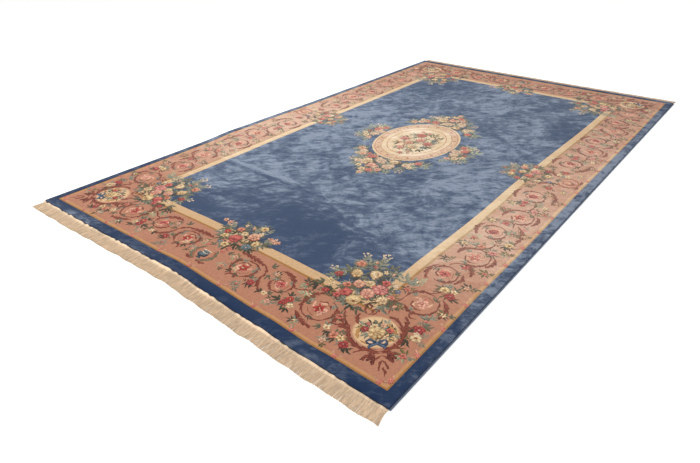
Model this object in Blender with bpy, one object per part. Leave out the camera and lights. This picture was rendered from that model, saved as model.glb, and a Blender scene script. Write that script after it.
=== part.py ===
"""A hand-knotted carpet with corded sides and a cotton fringe at each end, laid out flat.

Metres, +Z up, +X across the carpet and +Y along it. The origin is on the floor, under the middle.
"""

import math
import random
from collections import namedtuple

import bmesh
import bpy

# The carpet
WIDTH = 2.74
LENGTH = 4.57
THICKNESS = 0.015
PILE_ROUNDING = 0.006
ROUNDING_STEPS = 2
COLUMNS = 36

# The cord that is sewn along each side
CORD_RADIUS = 0.0045
CORD_POINTS = 40

# The fringe: a woven heading, and the locks of warp that run on from it
HEADING_DEPTH = 0.014
HEADING_HEIGHT = 0.003
LOCKS = 144
LOCK_LENGTH = 0.072
LOCK_GAP = 0.0034
LOCK_LANDING = 0.4
LOCK_TIP_HEIGHT = 0.0022
LOCK_TIP_WIDTH = 0.86
LENGTH_SPREAD = 0.004
SWAY_SPREAD = 0.0011
CORNER_FLARE = 0.016
FLARE_POWER = 13
FRINGE_SEED = 11

# Pieces that meet stay this far apart
CLEARANCE = 0.0003

# Points nearer than this to a line lie on it
ON_LINE = 0.000001

HALF_WIDTH = WIDTH / 2
HALF_LENGTH = LENGTH / 2
BODY_HALF_WIDTH = HALF_WIDTH - 2 * CORD_RADIUS - CLEARANCE
LOCKS_PER_COLUMN = LOCKS // COLUMNS

# Rows of the grid, counted from the near end: how far each zone reaches, and its number of rows
Zone = namedtuple("Zone", "reach rows")
ZONES = (
    Zone(0.36, 3),
    Zone(1.10, 4),
    Zone(1.23, 4),
    Zone(2.75, 10),
    Zone(LENGTH, 6),
)

# The ends are drawn in between the corners: where, as a share of the half width, and how far
Station = namedtuple("Station", "across drawn_in")
NEAR_END = (
    Station(-1.00, 0.000),
    Station(-0.70, 0.007),
    Station(-0.45, 0.021),
    Station(-0.20, 0.033),
    Station(0.00, 0.041),
    Station(0.20, 0.027),
    Station(0.45, 0.015),
    Station(0.70, 0.003),
    Station(1.00, 0.000),
)
FAR_END = (
    Station(-1.00, 0.000),
    Station(-0.40, 0.010),
    Station(0.30, 0.012),
    Station(1.00, 0.000),
)
DRAW_REACH = 1.6
DRAW_FADE = 1.5

# Where the carpet lifts off the floor: the middle, height and half extents of each swell
Ripple = namedtuple("Ripple", "x y height half_x half_y")
RIPPLES = (
    # a long swell at the left side, steep at its near end
    Ripple(-1.37, -0.42, 0.0090, 0.85, 0.85),
    Ripple(-1.37, -0.76, 0.0060, 0.60, 0.26),
    # the crease that is left from folding the carpet in four
    Ripple(-0.50, -1.12, 0.0035, 1.00, 0.06),
    # small waves along the near end
    Ripple(-0.92, -2.285, 0.0035, 0.16, 0.40),
    Ripple(-0.50, -2.285, 0.0045, 0.16, 0.40),
    Ripple(-0.12, -2.285, 0.0060, 0.17, 0.50),
    Ripple(0.24, -2.285, 0.0045, 0.15, 0.40),
    Ripple(0.62, -2.285, 0.0050, 0.17, 0.45),
    Ripple(1.02, -2.285, 0.0030, 0.16, 0.35),
)


def clear_scene():
    for obj in list(bpy.data.objects):
        bpy.data.objects.remove(obj)


def swell(share):
    """A smooth hill: 1 in the middle, 0 from a share of 1 outwards."""
    return 0.5 + 0.5 * math.cos(math.pi * min(1.0, abs(share)))


def lift(x, y):
    """How high the carpet's underside is off the floor."""
    return sum(
        r.height * swell((x - r.x) / r.half_x) * swell((y - r.y) / r.half_y)
        for r in RIPPLES
    )


def drawn_in(stations, x):
    """How far an end is drawn in at x, read smoothly between the stations."""
    across = max(-1.0, min(1.0, x / HALF_WIDTH))
    for before, after in zip(stations, stations[1:]):
        if across <= after.across:
            share = (across - before.across) / (after.across - before.across)
            eased = share * share * (3 - 2 * share)
            return before.drawn_in + (after.drawn_in - before.drawn_in) * eased
    return 0.0


def column_places():
    """The x of each column of the carpet's grid, with the outer side of each cord added."""
    step = 2 * BODY_HALF_WIDTH / COLUMNS
    columns = [-BODY_HALF_WIDTH + step * i for i in range(COLUMNS + 1)]
    return [-HALF_WIDTH, *columns, HALF_WIDTH]


def along_facets(line_at, x):
    """Reads a curved line as the carpet's grid has it: straight from one column to the next."""
    places = column_places()
    for left, right in zip(places, places[1:]):
        if x <= right:
            share = (x - left) / (right - left)
            return line_at(left) + (line_at(right) - line_at(left)) * share
    return line_at(places[-1])


def near_end(x):
    return -HALF_LENGTH + along_facets(lambda at: drawn_in(NEAR_END, at), x)


def far_end(x):
    return HALF_LENGTH - along_facets(lambda at: drawn_in(FAR_END, at), x)


def settled(x, along):
    """The y of a point that is this far along from the near end, before the ends are drawn in."""
    near_share = max(0.0, 1 - along / DRAW_REACH)
    far_share = max(0.0, 1 - (LENGTH - along) / DRAW_REACH)
    near = drawn_in(NEAR_END, x) * near_share**DRAW_FADE
    far = drawn_in(FAR_END, x) * far_share**DRAW_FADE
    return along - HALF_LENGTH + near - far


def row_distances():
    """The distance of each row of the grid from the near end."""
    distances = [0.0]
    for zone in ZONES:
        start = distances[-1]
        step = (zone.reach - start) / zone.rows
        distances += [start + step * (i + 1) for i in range(zone.rows)]
    return distances


def material(name, colour, roughness):
    made = bpy.data.materials.new(name)
    made.use_nodes = True
    shader = made.node_tree.nodes["Principled BSDF"]
    shader.inputs["Base Color"].default_value = (*colour, 1.0)
    shader.inputs["Roughness"].default_value = roughness
    shader.inputs["Metallic"].default_value = 0.0
    return made


def mesh_object(name, bm, finish, collection):
    """A named object of the collection that holds this bmesh."""
    mesh = bpy.data.meshes.new(name)
    bm.to_mesh(mesh)
    bm.free()
    mesh.materials.append(finish)
    obj = bpy.data.objects.new(name, mesh)
    collection.objects.link(obj)
    return obj


def carpet(finish, collection):
    """The knotted body: one cloth of even thickness, whose pile is rounded over at its edges."""
    rows = row_distances()
    bm = bmesh.new()
    bmesh.ops.create_grid(bm, x_segments=COLUMNS, y_segments=len(rows) - 1, size=1.0)
    for vert in bm.verts:
        row = round((vert.co.y + 1) / 2 * (len(rows) - 1))
        x = vert.co.x * BODY_HALF_WIDTH
        y = settled(x, rows[row])
        vert.co = (x, y, lift(x, y))

    underside = bm.faces[:]
    top = bmesh.ops.extrude_face_region(bm, geom=underside)["geom"]
    top_verts = [g for g in top if isinstance(g, bmesh.types.BMVert)]
    top_faces = {g for g in top if isinstance(g, bmesh.types.BMFace)}
    bmesh.ops.translate(bm, verts=top_verts, vec=(0, 0, THICKNESS))
    bmesh.ops.reverse_faces(bm, faces=underside)
    bmesh.ops.recalc_face_normals(bm, faces=bm.faces[:])

    rim = [e for e in bm.edges if len(top_faces.intersection(e.link_faces)) == 1]
    bmesh.ops.bevel(
        bm,
        geom=rim,
        offset=PILE_ROUNDING,
        segments=ROUNDING_STEPS,
        profile=0.5,
        affect="EDGES",
        material=-1,
    )
    return mesh_object("carpet", bm, finish, collection)


def side_cord(name, side, finish, collection):
    """The overcast cord along one long side, which lies on the floor beside the carpet."""
    x = side * (HALF_WIDTH - CORD_RADIUS)
    curve = bpy.data.curves.new(name, "CURVE")
    curve.dimensions = "3D"
    curve.bevel_depth = CORD_RADIUS
    curve.bevel_resolution = 2
    curve.use_fill_caps = True
    spline = curve.splines.new("POLY")
    spline.points.add(CORD_POINTS - 1)
    start = near_end(side * HALF_WIDTH)
    run = far_end(side * HALF_WIDTH) - start
    for i, point in enumerate(spline.points):
        y = start + run * i / (CORD_POINTS - 1)
        point.co = (x, y, CORD_RADIUS + lift(x, y), 1.0)
    curve.materials.append(finish)
    obj = bpy.data.objects.new(name, curve)
    collection.objects.link(obj)
    return obj


def lock_edges():
    """The x of every seam of the heading's front: the two sides of each lock, from left to right."""
    pitch = 2 * BODY_HALF_WIDTH / LOCKS
    sides = []
    for i in range(LOCKS):
        left = -BODY_HALF_WIDTH + i * pitch
        sides += [left + LOCK_GAP / 2, left + pitch - LOCK_GAP / 2]
    return sides


def heading(bm, sides):
    """The woven strip at y from 0 to its depth, with a front face for each lock and each gap."""
    bmesh.ops.create_grid(bm, x_segments=len(sides) - 1, y_segments=1, size=1.0)
    for vert in bm.verts:
        column = round((vert.co.x + 1) / 2 * (len(sides) - 1))
        depth = 0.0 if vert.co.y > 0 else HEADING_DEPTH
        vert.co = (sides[column], -depth, 0)
    underside = bm.faces[:]
    top = bmesh.ops.extrude_face_region(bm, geom=underside)["geom"]
    raised = [g for g in top if isinstance(g, bmesh.types.BMVert)]
    bmesh.ops.translate(bm, verts=raised, vec=(0, 0, HEADING_HEIGHT))
    bmesh.ops.reverse_faces(bm, faces=underside)
    bmesh.ops.recalc_face_normals(bm, faces=bm.faces[:])


def grow_locks(bm, end_lift):
    """Draws each lock out of its own face of the heading, down to the floor and along it."""
    draw = random.Random(FRINGE_SEED)
    fronts = [f for f in bm.faces if f.normal.y < -0.9]
    fronts.sort(key=lambda f: f.calc_center_median().x)
    for face in fronts[::2]:
        root = face.calc_center_median().x
        reach = LOCK_LENGTH + draw.uniform(-LENGTH_SPREAD, LENGTH_SPREAD)
        outward = root / BODY_HALF_WIDTH
        flare = CORNER_FLARE * outward**FLARE_POWER
        sway = draw.uniform(-SWAY_SPREAD, SWAY_SPREAD) + flare
        runs = ((LOCK_LANDING, 1.0, HEADING_HEIGHT), (1.0, LOCK_TIP_WIDTH, LOCK_TIP_HEIGHT))
        for share, width, height in runs:
            face = bmesh.ops.extrude_discrete_faces(bm, faces=[face])["faces"][0]
            middle = face.calc_center_median().x
            for vert in face.verts:
                upper = vert.co.z > HEADING_HEIGHT / 2
                side = vert.co.x - middle
                vert.co.x = root + side * width + sway * share
                vert.co.y = -HEADING_DEPTH - reach * share
                vert.co.z = (height if upper else 0.0) - end_lift(vert.co.x)


def thin_out(bm, sides):
    """Joins the heading's top, back and underside across a run of locks, to save faces."""
    kept = {round(x, 6) for x in sides[:: 2 * LOCKS_PER_COLUMN]}
    kept.add(round(sides[-1], 6))
    spare = [
        e
        for e in bm.edges
        if abs(e.verts[0].co.x - e.verts[1].co.x) < ON_LINE
        and round(e.verts[0].co.x, 6) not in kept
        and min(v.co.y for v in e.verts) > -HEADING_DEPTH - ON_LINE
        and max(v.co.y for v in e.verts) > -ON_LINE
    ]
    bmesh.ops.dissolve_edges(bm, edges=spare, use_verts=True)


def fringe(name, end_line, facing, finish, collection):
    """One end's fringe: facing is -1 at the near end and 1 at the far end."""

    def end_lift(x):
        return lift(x, end_line(x))

    sides = lock_edges()
    bm = bmesh.new()
    heading(bm, sides)
    grow_locks(bm, end_lift)
    thin_out(bm, sides)
    for vert in bm.verts:
        x = vert.co.x
        out = CLEARANCE - vert.co.y
        raise_by = end_lift(x)
        vert.co.y = end_line(x) + facing * out
        vert.co.z = max(0.0, vert.co.z + raise_by)
    bmesh.ops.recalc_face_normals(bm, faces=bm.faces[:])
    return mesh_object(name, bm, finish, collection)


def main():
    clear_scene()
    collection = bpy.data.collections.new("Knotted carpet")
    bpy.context.scene.collection.children.link(collection)
    pile_wool = material("pile_wool", (0.075, 0.120, 0.235), 0.92)
    cord_wool = material("cord_wool", (0.040, 0.065, 0.120), 0.90)
    cotton = material("fringe_cotton", (0.640, 0.520, 0.370), 0.95)

    carpet(pile_wool, collection)
    side_cord("side_cord_left", -1, cord_wool, collection)
    side_cord("side_cord_right", 1, cord_wool, collection)
    fringe("fringe_near", near_end, -1, cotton, collection)
    fringe("fringe_far", far_end, 1, cotton, collection)


main()
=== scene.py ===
"""A hand-knotted savonnerie carpet: its pile, carved pattern, wrapped sides and cotton fringes.

Metres, +Z up. The pattern is drawn on the flat cloth, with +X across it and +Y along it, and is then laid
down on the floor with the cloth. Its four quarters mirror each other, so most tables hold one quarter.
"""

import math
import random
from collections import namedtuple

import bmesh
import bpy
import numpy as np
from mathutils import Matrix, Vector


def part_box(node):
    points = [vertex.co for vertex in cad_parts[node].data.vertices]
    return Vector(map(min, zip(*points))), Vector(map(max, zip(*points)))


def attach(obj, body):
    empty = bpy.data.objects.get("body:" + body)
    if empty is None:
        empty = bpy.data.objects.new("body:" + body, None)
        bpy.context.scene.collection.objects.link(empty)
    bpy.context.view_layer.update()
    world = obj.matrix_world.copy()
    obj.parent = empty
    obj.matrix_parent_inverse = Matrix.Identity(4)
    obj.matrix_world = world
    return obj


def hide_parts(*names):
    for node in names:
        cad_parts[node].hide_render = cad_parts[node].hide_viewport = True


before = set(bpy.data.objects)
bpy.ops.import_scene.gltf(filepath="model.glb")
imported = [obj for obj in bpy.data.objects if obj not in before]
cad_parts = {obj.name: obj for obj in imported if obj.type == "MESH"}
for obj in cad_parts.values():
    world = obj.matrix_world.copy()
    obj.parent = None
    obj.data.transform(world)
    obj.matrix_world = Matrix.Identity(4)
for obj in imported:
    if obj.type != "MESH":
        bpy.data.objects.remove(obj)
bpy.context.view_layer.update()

bl_info = {
    "name": "Savonnerie carpet",
    "version": (1, 0, 0),
    "blender": (4, 5, 0),
    "location": "View3D > Sidebar > Carpet",
    "description": "Builds a hand-knotted carpet with carved flowers, wrapped sides and cotton fringes",
    "category": "Add Mesh",
}


def rows(kind, *table):
    """A table whose rows are all of one kind."""
    return tuple(kind(*row) for row in table)


BODY_LOW, BODY_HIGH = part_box("carpet")
CORD_LOW, CORD_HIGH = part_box("side_cord_right")

# The cloth, as the maker cuts it
HALF_WIDTH = round(CORD_HIGH.x, 4)
HALF_LENGTH = round(BODY_HIGH.y, 4)
BODY_HALF_WIDTH = BODY_HIGH.x
THICKNESS = 0.015
PILE_ROUNDING = 0.006
ROUNDING_STEPS = 3

# Where the ends are drawn in between the corners: a share of the half width, and how far
Station = namedtuple("Station", "across drawn_in")
NEAR_END = rows(
    Station,
    (-1.0, 0.0), (-0.7, 0.007), (-0.45, 0.021), (-0.2, 0.033), (0.0, 0.041), (0.2, 0.027), (0.45, 0.015),
    (0.7, 0.003), (1.0, 0.0),
)
FAR_END = rows(
    Station,
    (-1.0, 0.0), (-0.4, 0.01), (0.3, 0.012), (1.0, 0.0),
)
DRAW_REACH = 1.6
DRAW_FADE = 1.5

# Where the cloth lifts off the floor: the middle, height and half extents of each swell
Ripple = namedtuple("Ripple", "x y height half_x half_y")
RIPPLES = rows(
    Ripple,
    (-1.37, -0.42, 0.009, 0.85, 0.85), (-1.37, -0.76, 0.006, 0.6, 0.26), (-0.5, -1.12, 0.0035, 1.0, 0.06),
    (-0.92, -2.285, 0.0035, 0.16, 0.4), (-0.5, -2.285, 0.0045, 0.16, 0.4),
    (-0.12, -2.285, 0.006, 0.17, 0.5), (0.24, -2.285, 0.0045, 0.15, 0.4), (0.62, -2.285, 0.005, 0.17, 0.45),
    (1.02, -2.285, 0.003, 0.16, 0.35),
)
CREASE_ALONG = (-1.20, -1.04)

# The bands, from the field outwards: where each begins across the cloth and along it
Band = namedtuple("Band", "name colour side end")
BANDS = rows(
    Band,
    ("cream", "cream", 0.922, 1.802), ("thin_gold", "gold", 0.974, 1.862), ("rose", "rose", 0.989, 1.876),
    ("staff_light", "staff", 1.284, 2.197), ("staff_dark", "gold", 1.299, 2.212),
    ("navy", "navy", 1.3075, 2.221),
)

# How deep and how wide the line sheared along each band's edge is
CARVED = 0.0009
CARVED_HALF_WIDTH = 0.0028

# Painted sheen of the nap, lighter or darker than elsewhere: the middle and half extents of each place, and
# how much lighter. The broad rows at the near and far ends paint shade there; the thin pair at the crease
# paints a highlight on its ridge and shade beside it.
SheenPatch = namedtuple("SheenPatch", "x y half_x half_y light")
SHEEN_PATCHES = rows(
    SheenPatch,
    (0.0, -2.05, 6.0, 1.3, -0.44), (0.28, -1.52, 0.5, 0.34, -0.2), (-0.78, -1.36, 0.5, 0.46, 0.2),
    (-0.6, 0.15, 0.6, 1.1, 0.34), (-0.4, -0.9, 0.44, 0.4, 0.1), (0.05, 1.3, 0.34, 0.95, 0.24),
    (-0.6, 1.4, 0.46, 0.7, -0.14), (0.85, 1.0, 0.3, 0.6, -0.16), (0.1, -1.02, 0.5, 0.3, 0.15),
    (0.58, 0.2, 0.34, 0.5, 0.26), (0.5, 0.86, 0.26, 0.4, 0.22), (0.78, -0.95, 0.4, 0.7, 0.16),
    (1.12, -0.8, 0.34, 1.2, 0.4), (1.12, 0.6, 0.34, 0.9, 0.2), (-1.15, -0.2, 0.4, 1.6, 0.42),
    (1.35, -1.5, 0.1, 0.62, 0.22), (1.35, -2.02, 0.1, 0.4, 0.17), (1.35, -0.95, 0.1, 0.5, 0.08),
    (1.35, 0.2, 0.1, 1.0, 0.6), (1.35, 1.2, 0.1, 0.6, 0.14), (1.35, -0.45, 0.1, 0.4, 0.1),
    (0.92, -2.27, 0.3, 0.08, 0.18), (0.8, -1.28, 0.36, 0.34, 0.24), (0.68, -0.45, 0.4, 0.4, 0.22),
    (-0.62, -1.1, 0.52, 0.52, 0.24), (-0.95, -2.27, 0.5, 0.08, 0.4), (-0.3, -2.27, 0.34, 0.07, 0.24),
    (0.0, 2.3, 3.0, 0.7, -0.24), (0.45, -1.3, 0.24, 0.16, 0.13), (0.62, -1.62, 0.16, 0.22, 0.13),
    (0.24, -1.66, 0.16, 0.12, 0.1), (-0.35, -1.62, 0.24, 0.14, 0.12), (-0.02, -1.4, 0.2, 0.14, -0.08),
    (0.6, -0.58, 0.24, 0.28, 0.17), (0.58, -1.16, 0.24, 0.22, 0.16), (-0.66, 0.62, 0.26, 0.32, -0.16),
    (-0.74, -0.24, 0.24, 0.3, 0.15), (-0.15, 1.25, 0.52, 0.32, 0.15), (0.74, -0.28, 0.22, 0.26, 0.12),
    (1.35, -1.33, 0.1, 0.16, 0.24), (1.35, -0.54, 0.1, 0.22, 0.26), (-0.55, -1.118, 0.85, 0.036, 0.34),
    (-0.5, -1.165, 0.85, 0.04, -0.34),
)
PLAIN_SHEEN = 0.46

# The nap's painted sheen on the motifs, on the medallion and on the border: a share each of its red, green
# and blue
MOTIF_SHEEN = (0.80, 0.63, 0.46)
MEDALLION_SHEEN = (0.50, 0.50, 0.44)
BORDER_SHEEN = (1.20, 1.16, 0.88)

# The fine marks of the nap's painted sheen: their turn on the cloth, then the size and share of each layer
NAP_TURN = -0.68
NAP_LAYERS = ((4.5, 0.20), (2.1, 0.36), (1.0, 0.52))

# The slight unevenness of the sheared pile, slow and quick
PILE_WAVES = (0.00022, 0.00010)


def wool(red, green, blue):
    """A linear colour from the red, green and blue of a screen, each from 0 to 255."""
    return tuple(
        (c / 255 / 12.92) if c <= 10 else ((c / 255 + 0.055) / 1.055) ** 2.4
        for c in (red, green, blue)
    )


def hue(name, words, shade):
    return bpy.props.FloatVectorProperty(
        name=name, description=words, subtype="COLOR", size=3, min=0, max=1, default=wool(*shade)
    )


def metres(name, words, size):
    return bpy.props.FloatProperty(
        name=name, description=words, unit="LENGTH", precision=4, min=0, default=size
    )


class CarpetSizes(bpy.types.PropertyGroup):
    """The sizes that a user would change."""

    grid: metres("Pile grid", "Distance between the lines of the pile's mesh", 0.030)
    relief: metres("Relief", "How far a motif's crown stands over the pile", 0.0011)
    wrap: metres("Wrap", "Distance between the turns of yarn round a side cord", 0.0065)
    strand: metres("Strand", "Thickness of one plied cotton strand of the fringe", 0.0024)
    medallion_width: metres("Medallion width", "Half the width of the oval medallion", 0.312)
    medallion_length: metres("Medallion length", "Half the length of the oval medallion", 0.420)
    roundel: metres("Roundel", "Radius of the cream disc in each corner", 0.107)


class CarpetColours(bpy.types.PropertyGroup):
    """The wools and cottons."""

    field: hue("Field", "Blue wool of the field", (54, 71, 99))
    # Painted sheen: light that the nap adds to the wool's colour where it lies the other way.
    haze: hue("Nap", "Light that the nap adds where it lies the other way", (112, 118, 124))
    navy: hue("Outer band", "Dark blue wool of the outer band", (24, 46, 79))
    cream: hue("Inner band", "Cream wool of the inner band", (203, 166, 125))
    gold: hue("Gold", "Ochre wool of the thin lines", (160, 112, 58))
    staff: hue("Staff", "Pale gold wool of the outer staff", (190, 138, 94))
    rose: hue("Rose ground", "Terracotta wool of the main border", (178, 122, 96))
    ivory: hue("Ivory", "Ground of the roundels", (216, 178, 136))
    pearl: hue("Pearl", "Ground of the medallion", (218, 190, 152))
    blush: hue("Blush", "Ring of the medallion", (204, 168, 132))
    cotton: hue("Cotton", "Warp ends of the fringe", (226, 199, 168))


# Cloth and how it lies


def swell(share):
    """A smooth hill: 1 in the middle, 0 from a share of 1 outwards."""
    return 0.5 + 0.5 * np.cos(np.pi * np.minimum(1.0, np.abs(share)))


def lift(x, y):
    """How high the cloth's underside is off the floor."""
    return sum(
        r.height * swell((x - r.x) / r.half_x) * swell((y - r.y) / r.half_y)
        for r in RIPPLES
    )


def drawn_in(stations, x):
    """How far an end is drawn in at x, eased from one station to the next."""
    across = x / HALF_WIDTH
    total = np.zeros_like(across) + stations[0].drawn_in
    for before, after in zip(stations, stations[1:]):
        share = np.clip((across - before.across) / (after.across - before.across), 0, 1)
        total = total + (after.drawn_in - before.drawn_in) * share * share * (3 - 2 * share)
    return total


def settled(x, flat_y):
    """The y at which a point of the flat cloth comes to lie, with the ends drawn in."""
    near_share = np.maximum(0, 1 - (flat_y + HALF_LENGTH) / DRAW_REACH)
    far_share = np.maximum(0, 1 - (HALF_LENGTH - flat_y) / DRAW_REACH)
    near = drawn_in(NEAR_END, x) * near_share**DRAW_FADE
    far = drawn_in(FAR_END, x) * far_share**DRAW_FADE
    return flat_y + near - far


def end_line(x, facing):
    """The y of the cloth's end at x: facing is -1 at the near end and 1 at the far end."""
    return settled(np.asarray(float(x)), np.asarray(facing * HALF_LENGTH)).item()


# Where the cloth's right side sways aside: the middle and half length of each place, and how far
Sway = namedtuple("Sway", "y half_y reach")
SWAYS = rows(
    Sway,
    (-1.46, 0.46, -0.013), (-0.8, 0.44, 0.008), (-0.2, 0.36, -0.009), (1.15, 1.15, 0.022),
)


def aside(x, y):
    """How far a point of the flat cloth is swayed aside, none at all at its very edge."""
    reach = sum(sway.reach * swell((y - sway.y) / sway.half_y) for sway in SWAYS)
    share = np.maximum(0, x / HALF_WIDTH)
    return reach * share * (1 - np.minimum(1, share) ** 6)


def pile_wave(x, y):
    """The slight unevenness of the sheared pile."""
    slow = np.sin(7.1 * x + 2.3 * np.sin(3.1 * y)) * np.sin(6.3 * y + 1.7 * np.sin(4.7 * x))
    quick = np.sin(31.0 * x + 3.0 * np.sin(11.0 * y)) * np.sin(27.0 * y + 2.0 * np.sin(13.0 * x))
    return PILE_WAVES[0] * slow + PILE_WAVES[1] * quick


def nap_light(x, y):
    """How much painted sheen the nap gets, from 0 to 1, for the large marks that brushing leaves."""
    light = sum(b.light * swell((x - b.x) / b.half_x) * swell((y - b.y) / b.half_y) for b in SHEEN_PATCHES)
    return np.clip(PLAIN_SHEEN + light, 0, 1)


def points_of(mesh):
    """The mesh's points, a row each."""
    co = np.zeros(len(mesh.vertices) * 3, np.float32)
    mesh.vertices.foreach_get("co", co)
    return co.reshape(-1, 3).astype(float)


def move_points(mesh, x, y, z):
    mesh.vertices.foreach_set("co", np.stack([x, y, z], axis=1).astype(np.float32).ravel())


def tints_of(mesh):
    """The colours that the mesh's points are marked with, a row each."""
    tints = np.zeros(len(mesh.vertices) * 4, np.float32)
    mesh.attributes["tint"].data.foreach_get("color", tints)
    return tints.reshape(-1, 4)


def lay_down(mesh, base=0.0, rise=1.0):
    """Lays a mesh that is drawn on the flat cloth down with it. Its z is scaled, and starts at the base."""
    flat_x, flat_y, height = points_of(mesh).T
    x = flat_x + aside(flat_x, flat_y)
    y = settled(x, flat_y)
    z = height * rise + base + lift(x, y)
    if base:
        z = z + pile_wave(flat_x, flat_y)
    move_points(mesh, x, y, z)
    mesh.update()


# Pieces


def finish_piece(name, mesh, material, replaced):
    """Makes the mesh a piece of the carpet."""
    mesh.materials.clear()
    mesh.materials.append(material)
    mesh.shade_smooth()
    piece = bpy.data.objects.new(name, mesh)
    bpy.context.scene.collection.objects.link(piece)
    if replaced:
        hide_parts(*replaced)
    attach(piece, "root")


def mesh_of(name, bm):
    mesh = bpy.data.meshes.new(name)
    bm.to_mesh(mesh)
    bm.free()
    return mesh


# Materials

# The third number of the pile's cloth attribute is how much painted sheen its nap gets, or this on its
# underside
UNDERSIDE = -1.0


def put(tree, kind, values=None, **settings):
    """Adds a node to a tree. A value is a number, a colour or another node's output."""
    node = tree.nodes.new(kind)
    for key, setting in settings.items():
        setattr(node, key, setting)
    for key, value in (values or {}).items():
        if isinstance(value, bpy.types.NodeSocket):
            tree.links.new(value, node.inputs[key])
        else:
            node.inputs[key].default_value = value
    return node


def maths(tree, operation, first, second=0.0, third=0.0):
    return put(tree, "ShaderNodeMath", {0: first, 1: second, 2: third}, operation=operation).outputs[0]


def blended(tree, share, first, second):
    """The second colour over the first one."""
    return put(tree, "ShaderNodeMix", {0: share, 6: first, 7: second}, data_type="RGBA").outputs[2]


def ranged(tree, value, low, high, to_low, to_high):
    values = {0: value, 1: low, 2: high, 3: to_low, 4: to_high}
    return put(tree, "ShaderNodeMapRange", values, interpolation_type="SMOOTHSTEP").outputs[0]


def noise(tree, place, scale, detail, roughness=0.5, distortion=0.0):
    values = {0: place, "Scale": scale, "Detail": detail, "Roughness": roughness, "Distortion": distortion}
    return put(tree, "ShaderNodeTexNoise", values).outputs[0]


def scaled(tree, place, shares):
    return put(tree, "ShaderNodeMapping", {0: place, "Scale": shares}).outputs[0]


def distance(tree, x, y):
    """How far a point is from the middle, from its two distances."""
    return maths(tree, "SQRT", maths(tree, "MULTIPLY_ADD", x, x, maths(tree, "MULTIPLY", y, y)))


def group(name, inputs, outputs):
    """A new shader group, its two end nodes and the group itself."""
    tree = bpy.data.node_groups.new(name, "ShaderNodeTree")
    for label, kind, start in inputs:
        socket = tree.interface.new_socket(label, in_out="INPUT", socket_type=kind)
        if start is not None:
            socket.default_value = start
    for label, kind in outputs:
        tree.interface.new_socket(label, in_out="OUTPUT", socket_type=kind)
    return tree, put(tree, "NodeGroupInput").outputs, put(tree, "NodeGroupOutput").inputs


def placed(tree, named, values):
    """Adds a shared group to a tree, and gives its outputs."""
    return put(tree, "ShaderNodeGroup", values, node_tree=bpy.data.node_groups[named]).outputs


# How far a band's edge wanders from knot to knot, to either side, and how soft it is
EDGE_WANDER = 0.0017
EDGE_SOFTNESS = 0.0008


def band_edge_group():
    """A mask that is 1 outside a mitred rectangle of the flat cloth, with a knotted edge."""
    vector, number = "NodeSocketVector", "NodeSocketFloat"
    inputs = (("Cloth", vector, None), ("Side", number, 1.0), ("End", number, 1.0))
    tree, given, out = group("band edge", inputs, (("Mask", number),))
    parts = put(tree, "ShaderNodeSeparateXYZ", {0: given["Cloth"]}).outputs
    across = maths(tree, "SUBTRACT", maths(tree, "ABSOLUTE", parts[0]), given["Side"])
    along = maths(tree, "SUBTRACT", maths(tree, "ABSOLUTE", parts[1]), given["End"])
    outside = maths(tree, "MAXIMUM", across, along)
    knots = noise(tree, given["Cloth"], 260.0, 1.0)
    wobble = maths(tree, "MULTIPLY_ADD", knots, 2 * EDGE_WANDER, -EDGE_WANDER)
    edge = maths(tree, "ADD", outside, wobble)
    tree.links.new(ranged(tree, edge, -EDGE_SOFTNESS, EDGE_SOFTNESS, 0.0, 1.0), out["Mask"])


def brushed_nap_group():
    """The painted sheen of the nap: lighter and darker marks where it has been brushed one way or the other.
    """
    vector, number = "NodeSocketVector", "NodeSocketFloat"
    inputs = (("Cloth", vector, None), ("Size", number, 1.0))
    tree, given, out = group("nap sheen marks", inputs, (("Light", number),))
    turned = put(tree, "ShaderNodeMapping", {0: given["Cloth"], "Rotation": (0, 0, NAP_TURN)}).outputs[0]
    place = toned(tree, turned, given["Size"])
    cloud = noise(tree, place, 2.2, 5.0, 0.60, 2.4)
    streak = noise(tree, scaled(tree, place, (3.6, 8.6, 1.0)), 1.0, 4.0, 0.60, 2.0)
    both = maths(tree, "MULTIPLY_ADD", streak, 0.50, maths(tree, "MULTIPLY", cloud, 0.50))
    tree.links.new(ranged(tree, both, 0.39, 0.63, 0.0, 1.0), out["Light"])


def pile_fibre_group():
    """Cut wool seen close: tufts in rows, and the fine ends of the yarn."""
    vector, number = "NodeSocketVector", "NodeSocketFloat"
    tree, given, out = group("pile fibre", (("Place", vector, None),), (("Tone", number), ("Height", number)))
    tufts = put(tree, "ShaderNodeTexVoronoi", {0: given["Place"], "Scale": 330.0, "Randomness": 0.75})
    ends = noise(tree, given["Place"], 900.0, 2.0)
    soft = noise(tree, given["Place"], 60.0, 3.0)
    tuft = maths(tree, "SUBTRACT", 1.0, maths(tree, "MULTIPLY", tufts.outputs["Distance"], 1.1))
    height = maths(tree, "MULTIPLY_ADD", ends, 0.45, maths(tree, "MULTIPLY", tuft, 0.55))
    both = maths(tree, "MULTIPLY_ADD", soft, 0.5, maths(tree, "MULTIPLY", height, 0.5))
    tree.links.new(ranged(tree, both, 0.25, 0.75, 0.84, 1.12), out["Tone"])
    tree.links.new(height, out["Height"])


def shared_groups():
    for name, build in (
        ("band edge", band_edge_group),
        ("nap sheen marks", brushed_nap_group),
        ("pile fibre", pile_fibre_group),
    ):
        if name not in bpy.data.node_groups:
            build()


def new_material(name, roughness=0.95, sheen=0.10):
    """A material with its tree and its main shader."""
    made = bpy.data.materials.new(name)
    made.use_nodes = True
    shader = made.node_tree.nodes["Principled BSDF"]
    shader.inputs["Roughness"].default_value = roughness
    shader.inputs["Specular IOR Level"].default_value = 0.08
    shader.inputs["Sheen Weight"].default_value = sheen
    shader.inputs["Sheen Roughness"].default_value = 0.55
    return made, made.node_tree, shader


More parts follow.
